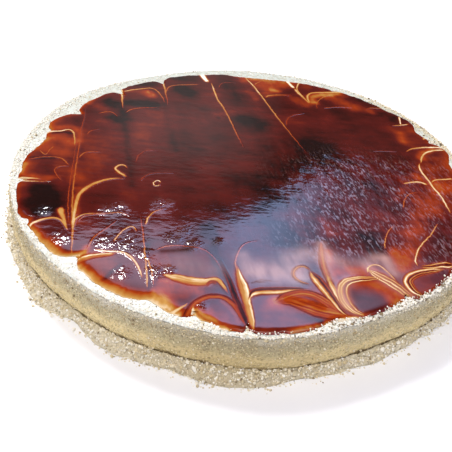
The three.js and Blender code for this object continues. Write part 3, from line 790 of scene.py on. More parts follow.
def select_edges(piece, wanted):
    """Goes into edit mode with just the edges selected for which wanted(first, second point) is true."""
    edit_unselected("EDGE")
    bpy.ops.object.mode_set(mode="OBJECT")
    points = [v.co for v in piece.data.vertices]
    for edge in piece.data.edges:
        first, second = edge.vertices
        edge.select = wanted(points[first], points[second])
    bpy.ops.object.mode_set(mode="EDIT")


def select_open_edges():
    """Goes into edit mode with just the edges selected that lie on one face alone."""
    edit_unselected("EDGE")
    bpy.ops.mesh.select_non_manifold()


def delete_faces(piece, wanted):
    """Deletes the faces for which wanted(face) is true."""
    select_faces(piece, wanted)
    bpy.ops.mesh.delete(type="FACE")
    bpy.ops.object.mode_set(mode="OBJECT")


def runs_round(first, second):
    """True for an edge that runs round the cake, and not up its wall or towards its middle."""
    least_turn = math.radians(0.8)
    return first.xy.length > MM and abs(first.xy.angle_signed(second.xy, 0)) > least_turn


def apply_modifier(piece, kind, name, **settings):
    """Adds a modifier with its settings and applies it."""
    modifier = piece.modifiers.new(name, kind)
    for setting, value in settings.items():
        setattr(modifier, setting, value)
    take_up(piece)
    bpy.ops.object.modifier_apply(modifier=name)


def round_off(piece):
    """Halves the edges that run round the cake, and rounds the piece by two subdivisions."""
    select_edges(piece, runs_round)
    bpy.ops.mesh.subdivide(number_cuts=1)
    bpy.ops.object.mode_set(mode="OBJECT")
    apply_modifier(piece, "SUBSURF", "rounding", levels=2, render_levels=2)


def roughen(piece, name, texture_type, grain, depth, group=""):
    """Displaces the piece along its normals by a texture, with grain and depth in metres."""
    texture = bpy.data.textures.new(name, texture_type)
    texture.noise_scale = grain
    apply_modifier(
        piece, "DISPLACE", name, texture=texture, texture_coords="LOCAL", strength=depth,
        mid_level=0.5, vertex_group=group,
    )


def group_above(piece, height):
    """A vertex group of the points above a height, so that relief leaves the foot flat."""
    group = piece.vertex_groups.new(name="above_floor")
    group.add([v.index for v in piece.data.vertices if v.co.z > height], 1.0, "REPLACE")
    return group.name


def finish_piece(piece, material, replaced=None):
    """Gives a finished piece its material and its place in the frame."""
    piece.data.materials.clear()
    piece.data.materials.append(material)
    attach(piece, BODY)
    if replaced:
        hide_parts(replaced)


def face_outwards(piece):
    """Turns all faces of a closed piece outwards."""
    take_up(piece)
    bpy.ops.object.mode_set(mode="EDIT")
    bpy.ops.mesh.select_all(action="SELECT")
    bpy.ops.mesh.normals_make_consistent(inside=False)
    bpy.ops.object.mode_set(mode="OBJECT")


def mesh_from_arrays(name, points, faces, **values):
    """A piece from points in millimetres and lists of faces, with named values at its points."""
    mesh = bpy.data.meshes.new(name)
    mesh.from_pydata((np.asarray(points) * MM).tolist(), [], faces)
    for value_name, value in values.items():
        attribute = mesh.attributes.new(value_name, "FLOAT", "POINT")
        attribute.data.foreach_set("value", np.asarray(value, np.float32))
    mesh.update()
    piece = bpy.data.objects.new(name, mesh)
    bpy.context.scene.collection.objects.link(piece)
    return piece


def smoothstep(x):
    """From 0 at 0 to 1 at 1, smoothly, and level beyond."""
    x = np.clip(x, 0, 1)
    return x * x * (3 - 2 * x)


def fade(x, start, end):
    """From 0 at start to 1 at end, smoothly, and level beyond."""
    return smoothstep((x - start) / (end - start))


# Points along each side of the table that the noise repeats
NOISE_SIDE = 128


def value_noise(x, y, seed):
    """Smooth noise from 0 to 1 whose bumps are one unit apart."""
    table = np.random.default_rng(seed).random((NOISE_SIDE, NOISE_SIDE))
    column = np.floor(x).astype(int)
    row = np.floor(y).astype(int)
    u = smoothstep(x - column)
    v = smoothstep(y - row)
    left = column % NOISE_SIDE
    right = (column + 1) % NOISE_SIDE
    low = row % NOISE_SIDE
    high = (row + 1) % NOISE_SIDE
    below = table[low, left] * (1 - u) + table[low, right] * u
    above = table[high, left] * (1 - u) + table[high, right] * u
    return below * (1 - v) + above * v


def cloud(x, y, seed, octaves):
    """Value noise with finer layers added, each half as strong, from 0 to 1."""
    total = 0
    weight = 0
    for octave in range(octaves):
        total = total + value_noise(x * 2 ** octave, y * 2 ** octave, seed + octave) / 2 ** octave
        weight += 1 / 2 ** octave
    return total / weight


def swing(x, y, pattern, shift=0):
    """A pattern of noise about zero at places in millimetres, shifted by a number of its bumps in x."""
    strength, width, length, seed, octaves = pattern
    return strength * (cloud(x / width + shift, y / length, seed, octaves) - 0.5)


def polar(x, y):
    """Directions in radians, from 0 to a full turn, and distances from the middle."""
    return np.arctan2(y, x) % FULL_TURN, np.hypot(x, y)


def by_direction(table, degrees):
    """A table's value in each direction."""
    return np.interp(degrees, *np.array(table).T, period=360)


def knife_frame(x, y):
    """Places along the knife's way and across it."""
    c = math.cos(KNIFE_BEARING)
    s = math.sin(KNIFE_BEARING)
    return x * c + y * s, y * c - x * s


def smooth_path(points, step):
    """A curve through plan points, as points about step apart."""
    knots = np.asarray(points, float)
    knots = np.vstack([2 * knots[0] - knots[1], knots, 2 * knots[-1] - knots[-2]])
    stretches = []
    for before, start, end, after in zip(knots[:-3], knots[1:-2], knots[2:-1], knots[3:]):
        count = max(2, int(np.hypot(*(end - start)) / step))
        t = (np.arange(count) / count)[:, None]
        bend = 2 * before - 5 * start + 4 * end - after
        twist = 3 * start - before - 3 * end + after
        stretches.append(start + 0.5 * ((end - before) * t + bend * t ** 2 + twist * t ** 3))
    return np.vstack(stretches + [knots[-2:-1]])


def nearest(path, x, y, margin):
    """For the points within a margin of a path's box: their indices, distances and nearest path point."""
    low = path.min(0) - margin
    high = path.max(0) + margin
    inside = np.flatnonzero((x > low[0]) & (x < high[0]) & (y > low[1]) & (y < high[1]))
    apart = (x[inside, None] - path[:, 0]) ** 2 + (y[inside, None] - path[:, 1]) ** 2
    which = apart.argmin(1)
    return inside, np.sqrt(apart[np.arange(len(inside)), which]), which


class Line:
    """A cream line, or a band of stripes: its path in plan, half its width and its tones."""

    # A line has this share of its width at its tips, and all of it from 1 / TAPER of its length on
    TIP = 0.35
    TAPER = 8
    # Share of the drawn width that is solid cream
    SOLID = 0.9
    # Over how many millimetres a line fades towards its ends, and how much of it is left there
    FADES_OVER = 3.0
    END_SHOWN = 0.3
    # A band wider than NARROW somewhere fades instead where it is narrower than this, in millimetres
    NARROW = 2
    FADES_BELOW = 2.6
    BAND_END_SHOWN = 0.1
    # Soft edge of a band, and of a line, which grows with half its width, in millimetres
    BAND_FRINGE = 0.2
    LINE_FRINGE = 0.15
    FRINGE_GROWTH = 0.3

    def __init__(self, points, widths, tones, step, striped):
        self.path = smooth_path(points, step)
        self.ahead = np.gradient(self.path, axis=0)
        self.ahead /= np.hypot(*self.ahead.T)[:, None]
        self.tones = tones
        self.step = step
        self.striped = striped
        along = np.linspace(0, 1, len(self.path))
        from_end = np.minimum(along, 1 - along)
        length = len(along) * step
        tip = np.minimum(1, self.TIP + (1 - self.TIP) * self.TAPER * from_end)
        self.half = self.SOLID / 2 * np.interp(along, np.linspace(0, 1, len(widths)), widths) * tip
        self.patchy = 1 + swing(along * length, along * 0 + self.path[0, 0], Noise.LINE_PATCHES)
        self.shown = smoothstep(from_end * length / self.FADES_OVER + self.END_SHOWN)
        if striped and max(widths) > self.NARROW:
            self.shown = smoothstep(2 * self.half / self.FADES_BELOW + self.BAND_END_SHOWN)
        self.fringe = self.LINE_FRINGE + self.FRINGE_GROWTH * self.half
        if striped:
            self.fringe = np.full_like(self.half, self.BAND_FRINGE)

    def tone(self, which, x, y):
        """Tone at plan points whose nearest points of the path are given."""
        if not self.striped:
            place = which / (len(self.path) - 1)
            return np.interp(place, np.linspace(0, 1, len(self.tones)), self.tones) * self.patchy[which]
        ahead = self.ahead[which]
        from_path = np.stack([x, y], 1) - self.path[which]
        off = ahead[:, 0] * from_path[:, 1] - ahead[:, 1] * from_path[:, 0]
        stripe = np.interp(off / self.half[which], np.linspace(-1, 1, len(self.tones)), self.tones)
        fibre = swing(off, which * self.step, Noise.FIBRES, shift=self.path[0, 0])
        return np.clip(stripe * self.patchy[which] + fibre, 0, 1)


def drawn_lines(step):
    """All bands and lines in the order in which they lie over each other, with points a step apart."""
    bands = [Line(*band, step, striped=True) for band in FEATHER_BANDS]
    return bands + [Line(*line, step, striped=False) for line in KNIFE_LINES + CREAM_CURLS_AND_GLINT]


class GlazeTop:
    """The glaze solid's outline and top, and the tone of the marbling anywhere on it, in millimetres."""

    # Directions in which the solid's outline is read
    BEARINGS = 160
    # Distance between the points of a line's path, and of a soft patch's
    LINE_STEP = 0.5
    PATCH_STEP = 1.0
    # How many times its reach a soft patch goes, and how far from its path a line, or its dull skin, goes
    PATCH_MARGIN = 2.2
    LINE_MARGIN = 5
    DULL_MARGIN = 4
    # How far the edge stays inside the solid's, and the radius at which a turn gives a way along it
    EDGE_INSET = 0.35
    EDGE_RADIUS = 140
    # How far in from the edge the ripples are at their full height
    RIPPLES_FULL = 3
    # How high bubbles stand in the material's relief
    BUBBLE_BUMP = 2.2
    # Usual tone of the bare glaze, and how much paler it is towards the left and the right
    GLAZE_TONE = 0.13
    PALER_LEFT = 0.03
    PALER_RIGHT = 0.06
    # Palest tone of its washes, how that changes at the right, and palest tone of its edge
    PALEST = 0.62
    PALEST_RIGHT = -0.17
    PALEST_EDGE = 0.95
    # How sharply the pale band along the edge ends, and how quickly a line's flank grows with its width
    BAND_POWER = 1.3
    FLANK_POWER = 1.5
    # Direction in degrees, and over how many millimetres the glaze thins out towards its edge there
    LIP = ((0, 2.4), (205, 2.4), (225, 3.4), (258, 4.5), (268, 3.0), (274, 0.9), (310, 0.9), (325, 2.0))
    # Direction in degrees, and how far in from its edge the glaze's skin is dull there
    DULL_EDGE = (
        (0, 3.5), (214, 4.0), (226, 6.8), (256, 6.8), (268, 4.0), (274, 0.6), (287, 0.6), (291, 3.0),
        (297, 0.6), (310, 0.6), (318, 2.0),
    )
    # Over how many millimetres the edge turns dull
    DULL_FADE = 2
    # Amber flank beside a cream line: its reach in millimetres, its tone and its strength, and half the
    # width of a line whose flank is at full strength
    FLANK = 1.1
    FLANK_TONE = 0.31
    FLANK_STRENGTH = 0.75
    FLANK_FULL = 1.3
    # How far the dull skin of a feather reaches beyond it and fades, in millimetres, and how dull it is
    DULL_FLANK = 0.9
    DULL_FLANK_FADE = 0.7
    FEATHER_DULL = 0.9

    def __init__(self):
        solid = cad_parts["caramel_glaze"].data
        corners = np.array([v.co for v in solid.vertices]) / MM
        self.skin = BVHTree.FromPolygons(corners.tolist(), [face.vertices for face in solid.polygons])
        bearing, radius = polar(*corners.T[:2])
        bin_of = np.round(bearing / FULL_TURN * self.BEARINGS).astype(int) % self.BEARINGS
        self.reach = np.zeros(self.BEARINGS)
        np.maximum.at(self.reach, bin_of, radius)
        self.top = corners[:, 2].max()
        self.base = corners[:, 2].min()
        self.lines = drawn_lines(self.LINE_STEP)

    def edge(self, bearing):
        """Radius of the glaze's edge in a direction in radians."""
        steps = np.arange(self.BEARINGS) * FULL_TURN / self.BEARINGS
        radius = np.interp(bearing, steps, self.reach, period=FULL_TURN) - self.EDGE_INSET
        for direction, half_width, depth in GLAZE_NOTCHES:
            off = (np.degrees(bearing) - direction + 180) % 360 - 180
            radius -= depth * np.exp(-(off / half_width) ** 2)
        for pattern in (Noise.EDGE_WAVES, Noise.EDGE_TEETH):
            radius += swing(bearing * self.EDGE_RADIUS, bearing * 0, pattern)
        return radius

    def surface(self, x, y, down=True):
        """Height of the solid's top, or of its underside, at plan points that lie inside its outline."""
        start = 2 * self.top if down else 0
        way = Vector((0, 0, -1 if down else 1))
        missed = self.top if down else self.base
        heights = np.empty(len(x))
        for i, (a, b) in enumerate(zip(x, y)):
            place = self.skin.ray_cast(Vector((a, b, start)), way)[0]
            heights[i] = place.z if place else missed
        return heights

    def rounded(self, z, inside, bearing):
        """Heights of the top, thinned out towards the edge down to the cream."""
        share = np.clip(inside / by_direction(self.LIP, np.degrees(bearing)), 0, 1)
        return self.base + (z - self.base) * share * (2 - share)

    def rippled(self, x, y, z, inside, bearing):
        """Heights of the top with its thin edge and its ripples."""
        return self.rounded(z, inside, bearing) + self.ripple(x, y) * fade(inside, 0, self.RIPPLES_FULL)

    def roughness(self, x, y):
        """How unevenly the glaze set: 1 at the right, where ridges break up reflections, 0 elsewhere.

        It also places the painted reflection flecks.
        """
        return fade(x, -20, 55) * fade(y, 44, 14) * fade(y, -100, -70)

    def bubbly(self, x, y):
        """How uneven the glaze's skin is over bubbles at plan points, from 0 to 1."""
        total = 0
        for spot_x, spot_y, reach in GLAZE_DIMPLES:
            total = total + np.exp(-((x - spot_x) ** 2 + (y - spot_y) ** 2) / reach ** 2)
        return np.minimum(total, 1)

    def soft_patches(self, table, x, y):
        """Each soft patch of a table: which plan points it reaches, and its strength there."""
        for points, reach, strength in table:
            path = smooth_path(points, self.PATCH_STEP)
            near, apart, _ = nearest(path, x, y, self.PATCH_MARGIN * reach)
            yield near, strength * np.exp(-(apart / reach) ** 2)

    def patches(self, table, x, y):
        """Sum of soft patches at plan points, from 0 to 1."""
        total = np.zeros(len(x))
        for near, strength in self.soft_patches(table, x, y):
            total[near] += strength
        return np.clip(total, 0, 1)

    def ripple(self, x, y):
        """Height of the spatula's ripples from left to right, of the ridges and of the dimples."""
        glaze = bpy.context.scene.cake_glaze
        along, across = knife_frame(x, y)
        height = glaze.ripple * (swing(x, y, Noise.BROAD_RIPPLES) + swing(x, y, Noise.FINE_RIPPLES))
        height += glaze.ridge * self.roughness(x, y) ** 2 * swing(across, along, Noise.RIDGES)
        height += glaze.dimple * self.bubbly(x, y) * swing(x, y, Noise.DIMPLES)
        height /= MM
        for near, rise in self.soft_patches(GLAZE_RIDGES, x, y):
            height[near] += rise
        return height

    def milk_and_sheen(self, x, y):
        """How much cream was stirred into the glaze at plan points, in streaks, partly a painted sky
        reflection.
        """
        along, across = knife_frame(x, y)
        return self.patches(GLAZE_MILK_AND_SHEEN, x, y) * (1 + swing(across, along, Noise.MILK_AND_SHEEN_STREAKS))

    def dull(self, x, y):
        """How dull the skin is at plan points, from 0 to 1: the edge, the broad feathers and patches."""
        bearing, radius = polar(x, y)
        inside = self.edge(bearing) - radius
        reach = by_direction(self.DULL_EDGE, np.degrees(bearing))
        total = np.maximum(self.patches(GLAZE_DULL, x, y), smoothstep((reach - inside) / self.DULL_FADE))
        for line in self.lines:
            if line.striped:
                near, apart, which = nearest(line.path, x, y, self.DULL_MARGIN)
                share = smoothstep((line.half[which] + self.DULL_FLANK - apart) / self.DULL_FLANK_FADE)
                total[near] = np.maximum(total[near], self.FEATHER_DULL * line.shown[which] * share)
        return total

    def bare_tone(self, x, y):
        """Tone of the glaze itself at plan points: its streaks, its blotches and its washes."""
        along, across = knife_frame(x, y)
        tone = self.GLAZE_TONE + swing(across, along, Noise.KNIFE_STREAKS) + swing(x, y, Noise.BLOTCHES)
        tone += swing(x, y, Noise.SPATULA_STREAKS)
        tone += self.roughness(x, y) * swing(across, along, Noise.UNEVEN_STREAKS)
        tone += self.PALER_LEFT * fade(x, -35, -85) * fade(y, -42, -12)
        tone += self.PALER_RIGHT * fade(x, 60, 110)
        drifted_x = x + swing(x, y, Noise.WASH_DRIFT_X)
        drifted_y = y + swing(x, y, Noise.WASH_DRIFT_Y)
        uneven = 1 + swing(x, y, Noise.WASH_BLOTCHES) + swing(across, along, Noise.WASH_STREAKS)
        for near, lift in self.soft_patches(GLAZE_WASHES, drifted_x, drifted_y):
            tone[near] += lift * uneven[near]
        palest = self.PALEST + self.PALEST_RIGHT * fade(x, 30, 60) * fade(y, 50, 30)
        return np.clip(tone, 0, palest)

    def edge_lift(self, x, y):
        """How much paler the glaze is at plan points towards its edge, where it lies thin."""
        bearing, radius = polar(x, y)
        degrees = np.degrees(bearing)
        inside = np.maximum(self.edge(bearing) - radius, 0)
        direction, width, lift = np.array(GLAZE_EDGE_BAND).T
        band = np.interp(degrees, direction, width, period=360)
        band *= 1 + swing(degrees, degrees * 0, Noise.EDGE_BAND)
        return np.interp(degrees, direction, lift, period=360) * np.exp(-(inside / band) ** self.BAND_POWER)

    def tone(self, x, y):
        """Tone of the marbling at plan points: the glaze, and over it the lines with their flanks."""
        tone = np.clip(self.bare_tone(x, y) + self.edge_lift(x, y), 0, self.PALEST_EDGE)
        wavy_x = x + swing(x, y, Noise.LINE_WAVER_X)
        wavy_y = y + swing(x, y, Noise.LINE_WAVER_Y)
        found = [nearest(line.path, wavy_x, wavy_y, self.LINE_MARGIN) for line in self.lines]
        for line, (near, apart, which) in zip(self.lines, found):
            beyond = np.maximum(apart - line.half[which], 0) / self.FLANK
            share = self.FLANK_STRENGTH * line.shown[which] * np.exp(-beyond ** 2)
            share *= np.minimum(line.half[which] / self.FLANK_FULL, 1) ** self.FLANK_POWER
            tone[near] += (self.FLANK_TONE - tone[near]) * share
        for line, (near, apart, which) in zip(self.lines, found):
            fringe = line.fringe[which]
            share = line.shown[which] * smoothstep((line.half[which] + fringe - apart) / (2 * fringe))
            tone[near] += (line.tone(which, wavy_x[near], wavy_y[near]) - tone[near]) * share
        return np.clip(tone, 0, 1)

    def values(self, points):
        """What the glaze's material reads at points, by name."""
        x, y = points.T[:2]
        return {
            "tone": self.tone(x, y), "rough": self.roughness(x, y), "milk_and_sheen": self.milk_and_sheen(x, y),
            "dull": self.dull(x, y), "bubbly": self.BUBBLE_BUMP * self.bubbly(x, y),
        }


def stitch(first, angles, next_first, next_angles):
    """Triangles between a ring of points and the ring outside it, each given by first index and angles."""
    count = len(angles)
    next_count = len(next_angles)
    turns = np.concatenate([
        np.append(angles[1:], angles[0] + FULL_TURN), np.append(next_angles[1:], next_angles[0] + FULL_TURN)
    ])
    order = np.argsort(turns, kind="stable")
    outer_turn = order >= count
    at_outer = np.cumsum(outer_turn) - outer_turn
    at_inner = np.cumsum(~outer_turn) - ~outer_turn
    inner = first + at_inner % count
    outer = next_first + at_outer % next_count
    third = np.where(outer_turn, next_first + (at_outer + 1) % next_count, first + (at_inner + 1) % count)
    return np.stack([inner, outer, third], 1)


class CAKE_OT_body(bpy.types.Operator):
    """The cake with its crumb-coated wall"""

    bl_idname = "cake.body"
    bl_label = "Crumb-coated body"

    # Points up to this height stay as they are, and those below the other one are the foot's
    CALM = 0.5 * MM
    FOOT = 0.01 * MM

    def execute(self, context):
        crumbs = context.scene.cake_crumbs
        piece = copy_of_node("cake_body", "crumbed_body")
        delete_faces(piece, lambda face: abs(face.normal.z) > LEVEL)
        round_off(piece)
        rough = group_above(piece, self.CALM)
        roughen(piece, "lumps", "CLOUDS", 5 * MM, 0.8 * MM, rough)
        roughen(piece, "grain", "VORONOI", 1.5 * MM, -crumbs.relief, rough)
        # One face closes the foot, and one the top
        select_edges(piece, lambda first, second: max(abs(first.z), abs(second.z)) < self.FOOT)
        bpy.ops.mesh.edge_face_add()
        bpy.ops.object.mode_set(mode="OBJECT")
        select_open_edges()
        bpy.ops.mesh.edge_face_add()
        bpy.ops.object.mode_set(mode="OBJECT")
        face_outwards(piece)
        bpy.ops.object.shade_smooth()
        # Its bands hold a painted shadow, painted shade and painted bounce light besides the coat's colour
        material = crumb_coat_material("pressed biscuit crumb", WALL_BANDS_AND_SHADE)
        finish_piece(piece, material, "cake_body")
        return {"FINISHED"}


class CAKE_OT_cream(bpy.types.Operator):
    """The coat of white cream that shows as a rim"""

    bl_idname = "cake.cream"
    bl_label = "White cream"

    # Rows of faces that the top gets from its edge inwards, and their width
    RIM_ROWS = 6
    ROW = 4 * MM
    # The top's faces lie within this depth
    TOP_DEPTH = 0.05 * MM

    def execute(self, context):
        cream = context.scene.cake_cream
        piece = copy_of_node("cream_coat", "white_cream_rim")
        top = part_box("cream_coat")[1].z - self.TOP_DEPTH
        select_faces(piece, lambda face: face.normal.z > LEVEL and face.center.z > top)
        for _ in range(self.RIM_ROWS):
            bpy.ops.mesh.inset(thickness=self.ROW)
        bpy.ops.object.mode_set(mode="OBJECT")
        round_off(piece)
        roughen(piece, "cream strokes", "CLOUDS", 6 * MM, cream.relief)
        face_outwards(piece)
        bpy.ops.object.shade_smooth()
        finish_piece(piece, white_cream_material(), "cream_coat")
        return {"FINISHED"}


class CAKE_OT_glaze(bpy.types.Operator):
    """The glossy caramel glaze. Its marbling needs an even, fine mesh, so it is made ring by ring"""

    bl_idname = "cake.glaze"
    bl_label = "Caramel glaze"

    # Rings near the edge and on the underside, by their distance from the edge in millimetres
    LIP_RINGS = (3.0, 2.2, 1.5, 0.9, 0.45, 0.15, 0.0)
    UNDERSIDE_RINGS = (0.3, 1.5, 4.0, 12.0, 40.0, 90.0)
    UNDERSIDE_POINTS = 320
    # Least gap in millimetres between the even rings and those near the edge
    LEAST_GAP = 0.3
    # How far inside the edge, in millimetres, the solid's height is still read
    READ_INSIDE = 0.1

    def execute(self, context):
        top = GlazeTop()
        spacing = context.scene.cake_glaze.spacing / MM
        widest = top.reach.max()
        even = widest - self.LIP_RINGS[0]
        shares = np.arange(0.5 * spacing, even - self.LEAST_GAP, spacing) / even
        rings = [(share, self.LIP_RINGS[0], True) for share in shares]
        rings += [(1.0, inside, True) for inside in self.LIP_RINGS]
        rings += [(1.0, inside, False) for inside in self.UNDERSIDE_RINGS]
        points = []
        faces = []
        first = 0
        previous = None
        for number, (share, inside, upper) in enumerate(rings):
            count = max(3, round(FULL_TURN * share * widest / spacing)) if upper else self.UNDERSIDE_POINTS
            angles = (np.arange(count) + 0.5 * (number % 2)) * FULL_TURN / count
            edge = top.edge(angles)
            radius = share * (edge - inside)
            x = radius * np.cos(angles)
            y = radius * np.sin(angles)
            held_in = np.minimum(1, (edge - self.READ_INSIDE) / radius)
            z = top.surface(x * held_in, y * held_in, upper)
            if upper:
                z = top.rippled(x, y, z, edge - radius, angles)
            points.append(np.stack([x, y, z], 1))
            if previous is None:
                faces.append(np.array([[0, 1, 2]]))
            else:
                faces.append(stitch(*previous, first, angles))
            previous = (first, angles)
            first += count
        last = list(range(first - self.UNDERSIDE_POINTS, first))
        points = np.vstack(points)
        piece = mesh_from_arrays(
            "caramel_glaze_sheet", points, np.vstack(faces).tolist() + [last[::-1]], **top.values(points)
        )
        face_outwards(piece)
        bpy.ops.object.shade_smooth()
        finish_piece(piece, caramel_glaze_material("caramel glaze"), "caramel_glaze")
        return {"FINISHED"}


class CAKE_OT_feathering(bpy.types.Operator):
    """The cream lines drawn in the glaze, level with it: many fine strips, so joined from arrays"""

    bl_idname = "cake.feathering"
    bl_label = "Cream feathering"

    # Millimetres between the rows of a strip, and points across the strip of a line and of a band
    STEP = 0.8
    ACROSS = 11
    ACROSS_BAND = 31
    # How far a strip goes beside a line and beside a band, in millimetres, in the glaze's own tone
    SIDE = 0.5
    BAND_SIDE = 1.3
    # How far a strip lies above the glaze, how far its sides dip, and how thick it is, in millimetres
    LIFT = 0.02
    EDGE_DIP = 0.035
    DEPTH = 0.4
    # A strip ends this far inside the glaze's edge, and has at least so many rows
    CLEAR_OF_EDGE = 0.5
    LEAST_ROWS = 3
    # Sharper edges of a strip are shaded as edges
    SMOOTH_BELOW = math.radians(40)

    def strip(self, top, line):
        """Points of one strip, row by row: those across its top, and two below."""
        bearing, radius = polar(*line.path.T)
        inside = top.edge(bearing) - radius > self.CLEAR_OF_EDGE
        path = line.path[inside]
        if len(path) < self.LEAST_ROWS:
            return None
        half = (line.half + line.fringe)[inside] + (self.BAND_SIDE if line.striped else self.SIDE)
        ahead = line.ahead[inside]
        side = np.stack([-ahead[:, 1], ahead[:, 0]], 1)
        across = np.linspace(-1, 1, self.ACROSS_BAND if line.striped else self.ACROSS)
        plan = path[:, None] + side[:, None] * (half[:, None] * across)[..., None]
        plan = np.concatenate([plan, plan[:, -1:], plan[:, :1]], 1)
        x, y = plan.reshape(-1, 2).T
        bearing, radius = polar(x, y)
        z = top.rippled(x, y, top.surface(x, y), top.edge(bearing) - radius, bearing)
        z = z.reshape(len(path), -1)
        z[:, :-2] += self.LIFT - self.EDGE_DIP * across ** 4
        z[:, -2:] -= self.DEPTH
        return np.concatenate([plan, z[..., None]], 2)

    def execute(self, context):
        top = GlazeTop()
        points = []
        faces = []
        first = 0
        for line in drawn_lines(self.STEP):
            strip = self.strip(top, line)
            if strip is None:
                continue
            length, around = strip.shape[:2]
            grid = first + np.arange(length * around).reshape(length, around)
            turned = np.roll(grid, -1, 1)
            quads = np.stack([grid[:-1], turned[:-1], turned[1:], grid[1:]], -1)
            faces += quads.reshape(-1, 4).tolist()
            faces += [grid[0].tolist(), grid[-1][::-1].tolist()]
            points.append(strip.reshape(-1, 3))
            first += length * around
        points = np.vstack(points)
        piece = mesh_from_arrays("cream_feathering", points, faces, **top.values(points))
        face_outwards(piece)
        bpy.ops.object.shade_smooth_by_angle(angle=self.SMOOTH_BELOW)
        finish_piece(piece, caramel_glaze_material("glazed cream"))
        return {"FINISHED"}


class CAKE_OT_heap(bpy.types.Operator):
    """The crumbs heaped against the foot of the wall"""

    bl_idname = "cake.heap"
    bl_label = "Crumb heap"

    # Points up to this height stay as they are
    CALM = 0.2 * MM

    def execute(self, context):
        crumbs = context.scene.cake_crumbs
        piece = copy_of_node("crumb_ring", "crumb_heap")
        delete_faces(piece, lambda face: face.normal.z < -LEVEL)
        round_off(piece)
        rough = group_above(piece, self.CALM)
        roughen(piece, "heap lumps", "CLOUDS", 3 * MM, 2.0 * MM, rough)
        roughen(piece, "heap grain", "VORONOI", 1.4 * MM, -crumbs.relief, rough)
        # The underside, from the inner to the outer foot, is closed again
        select_open_edges()
        bpy.ops.mesh.bridge_edge_loops()
        bpy.ops.object.mode_set(mode="OBJECT")
        face_outwards(piece)
        bpy.ops.object.shade_smooth()
        material = crumb_coat_material("heaped biscuit crumb", HEAP_BANDS)
        finish_piece(piece, material, "crumb_ring")
        return {"FINISHED"}


# A crumb starts as an icosahedron: twelve corners on a unit ball and twenty faces
GOLDEN = (1 + 5 ** 0.5) / 2
CRUMB_CORNERS = np.array([
    (-1, GOLDEN, 0), (1, GOLDEN, 0), (-1, -GOLDEN, 0), (1, -GOLDEN, 0),
    (0, -1, GOLDEN), (0, 1, GOLDEN), (0, -1, -GOLDEN), (0, 1, -GOLDEN),
    (GOLDEN, 0, -1), (GOLDEN, 0, 1), (-GOLDEN, 0, -1), (-GOLDEN, 0, 1),
]) / math.hypot(1, GOLDEN)
CRUMB_FACES = np.array([
    (0, 11, 5), (0, 5, 1), (0, 1, 7), (0, 7, 10), (0, 10, 11), (1, 5, 9), (5, 11, 4), (11, 10, 2),
    (10, 7, 6), (7, 1, 8), (3, 9, 4), (3, 4, 2), (3, 2, 6), (3, 6, 8), (3, 8, 9), (4, 9, 5),
    (2, 4, 11), (6, 2, 10), (8, 6, 7), (9, 8, 1),
])
# How far out its corners lie, how flat it is, and how far it is lifted, as shares of its size
CRUMB_UNEVEN = (0.72, 1.2)
CRUMB_FLAT = (0.6, 1.0)
CRUMB_LIFT = (0.05, 0.3)
# Sizes as shares of the usual one: mean and spread of their logarithm, and the least and the largest
CRUMB_SPREAD = (-0.1, 0.38)
CRUMB_RANGE = (0.4, 2.6)
# Crumbs stay this far above the floor, in millimetres
CRUMB_FLOOR = 0.02
# Keeps a triangle without area from having no length to divide by
LEAST_AREA = 1e-12


def random_turns(rng, count):
    """Random rotation matrices, from random unit quaternions."""
    parts = rng.normal(size=(4, count))
    w, x, y, z = parts / np.linalg.norm(parts, axis=0)
    return np.array([
        [1 - 2 * (y * y + z * z), 2 * (x * y - z * w), 2 * (x * z + y * w)],
        [2 * (x * y + z * w), 1 - 2 * (x * x + z * z), 2 * (y * z - x * w)],
        [2 * (x * z - y * w), 2 * (y * z + x * w), 1 - 2 * (x * x + y * y)],
    ]).transpose(2, 0, 1)


def scatter(host, count, density, rng):
    """Random places on a piece in millimetres, and normals, as dense as density(places, normals) says."""
    mesh = host.data
    mesh.calc_loop_triangles()
    corners = np.array([t.vertices for t in mesh.loop_triangles])
    points = np.array([v.co for v in mesh.vertices]) / MM
    a, b, c = points[corners].transpose(1, 0, 2)
    normal = np.cross(b - a, c - a)
    area = np.linalg.norm(normal, axis=1)
    normal /= np.maximum(area, LEAST_AREA)[:, None]
    weight = area * density((a + b + c) / 3, normal)
    chosen = np.searchsorted(np.cumsum(weight) / weight.sum(), rng.random(count))
    u, v = rng.random((2, count, 1))
    over = u + v > 1
    u, v = np.where(over, 1 - u, u), np.where(over, 1 - v, v)
    return a[chosen] + u * (b - a)[chosen] + v * (c - a)[chosen], normal[chosen]


def crumb_piece(name, places, normals, sizes, shades, rng):
    """One joined mesh of crumbs: uneven balls, each of its own size, turned at random and sunk in."""
    count = len(places)
    uneven = rng.uniform(*CRUMB_UNEVEN, (count, len(CRUMB_CORNERS), 1))
    squash = rng.uniform(*CRUMB_FLAT, (count, 1, 3))
    shapes = CRUMB_CORNERS * uneven * squash * (sizes / 2)[:, None, None]
    shapes = np.einsum("nij,nkj->nki", random_turns(rng, count), shapes)
    centres = places + normals * (sizes * rng.uniform(*CRUMB_LIFT, count))[:, None]
    points = (centres[:, None] + shapes).reshape(-1, 3)
    points[:, 2] = np.maximum(points[:, 2], CRUMB_FLOOR)
    corners = np.arange(count)[:, None, None] * len(CRUMB_CORNERS) + CRUMB_FACES
    shade = np.repeat(shades, len(CRUMB_CORNERS))
    return mesh_from_arrays(name, points, corners.reshape(-1, 3).tolist(), shade=shade)


def crumb_sizes(rng, count, usual):
    """Random sizes about the usual one, most of them near it and a few much larger."""
    return usual * np.exp(rng.normal(*CRUMB_SPREAD, count)).clip(*CRUMB_RANGE)


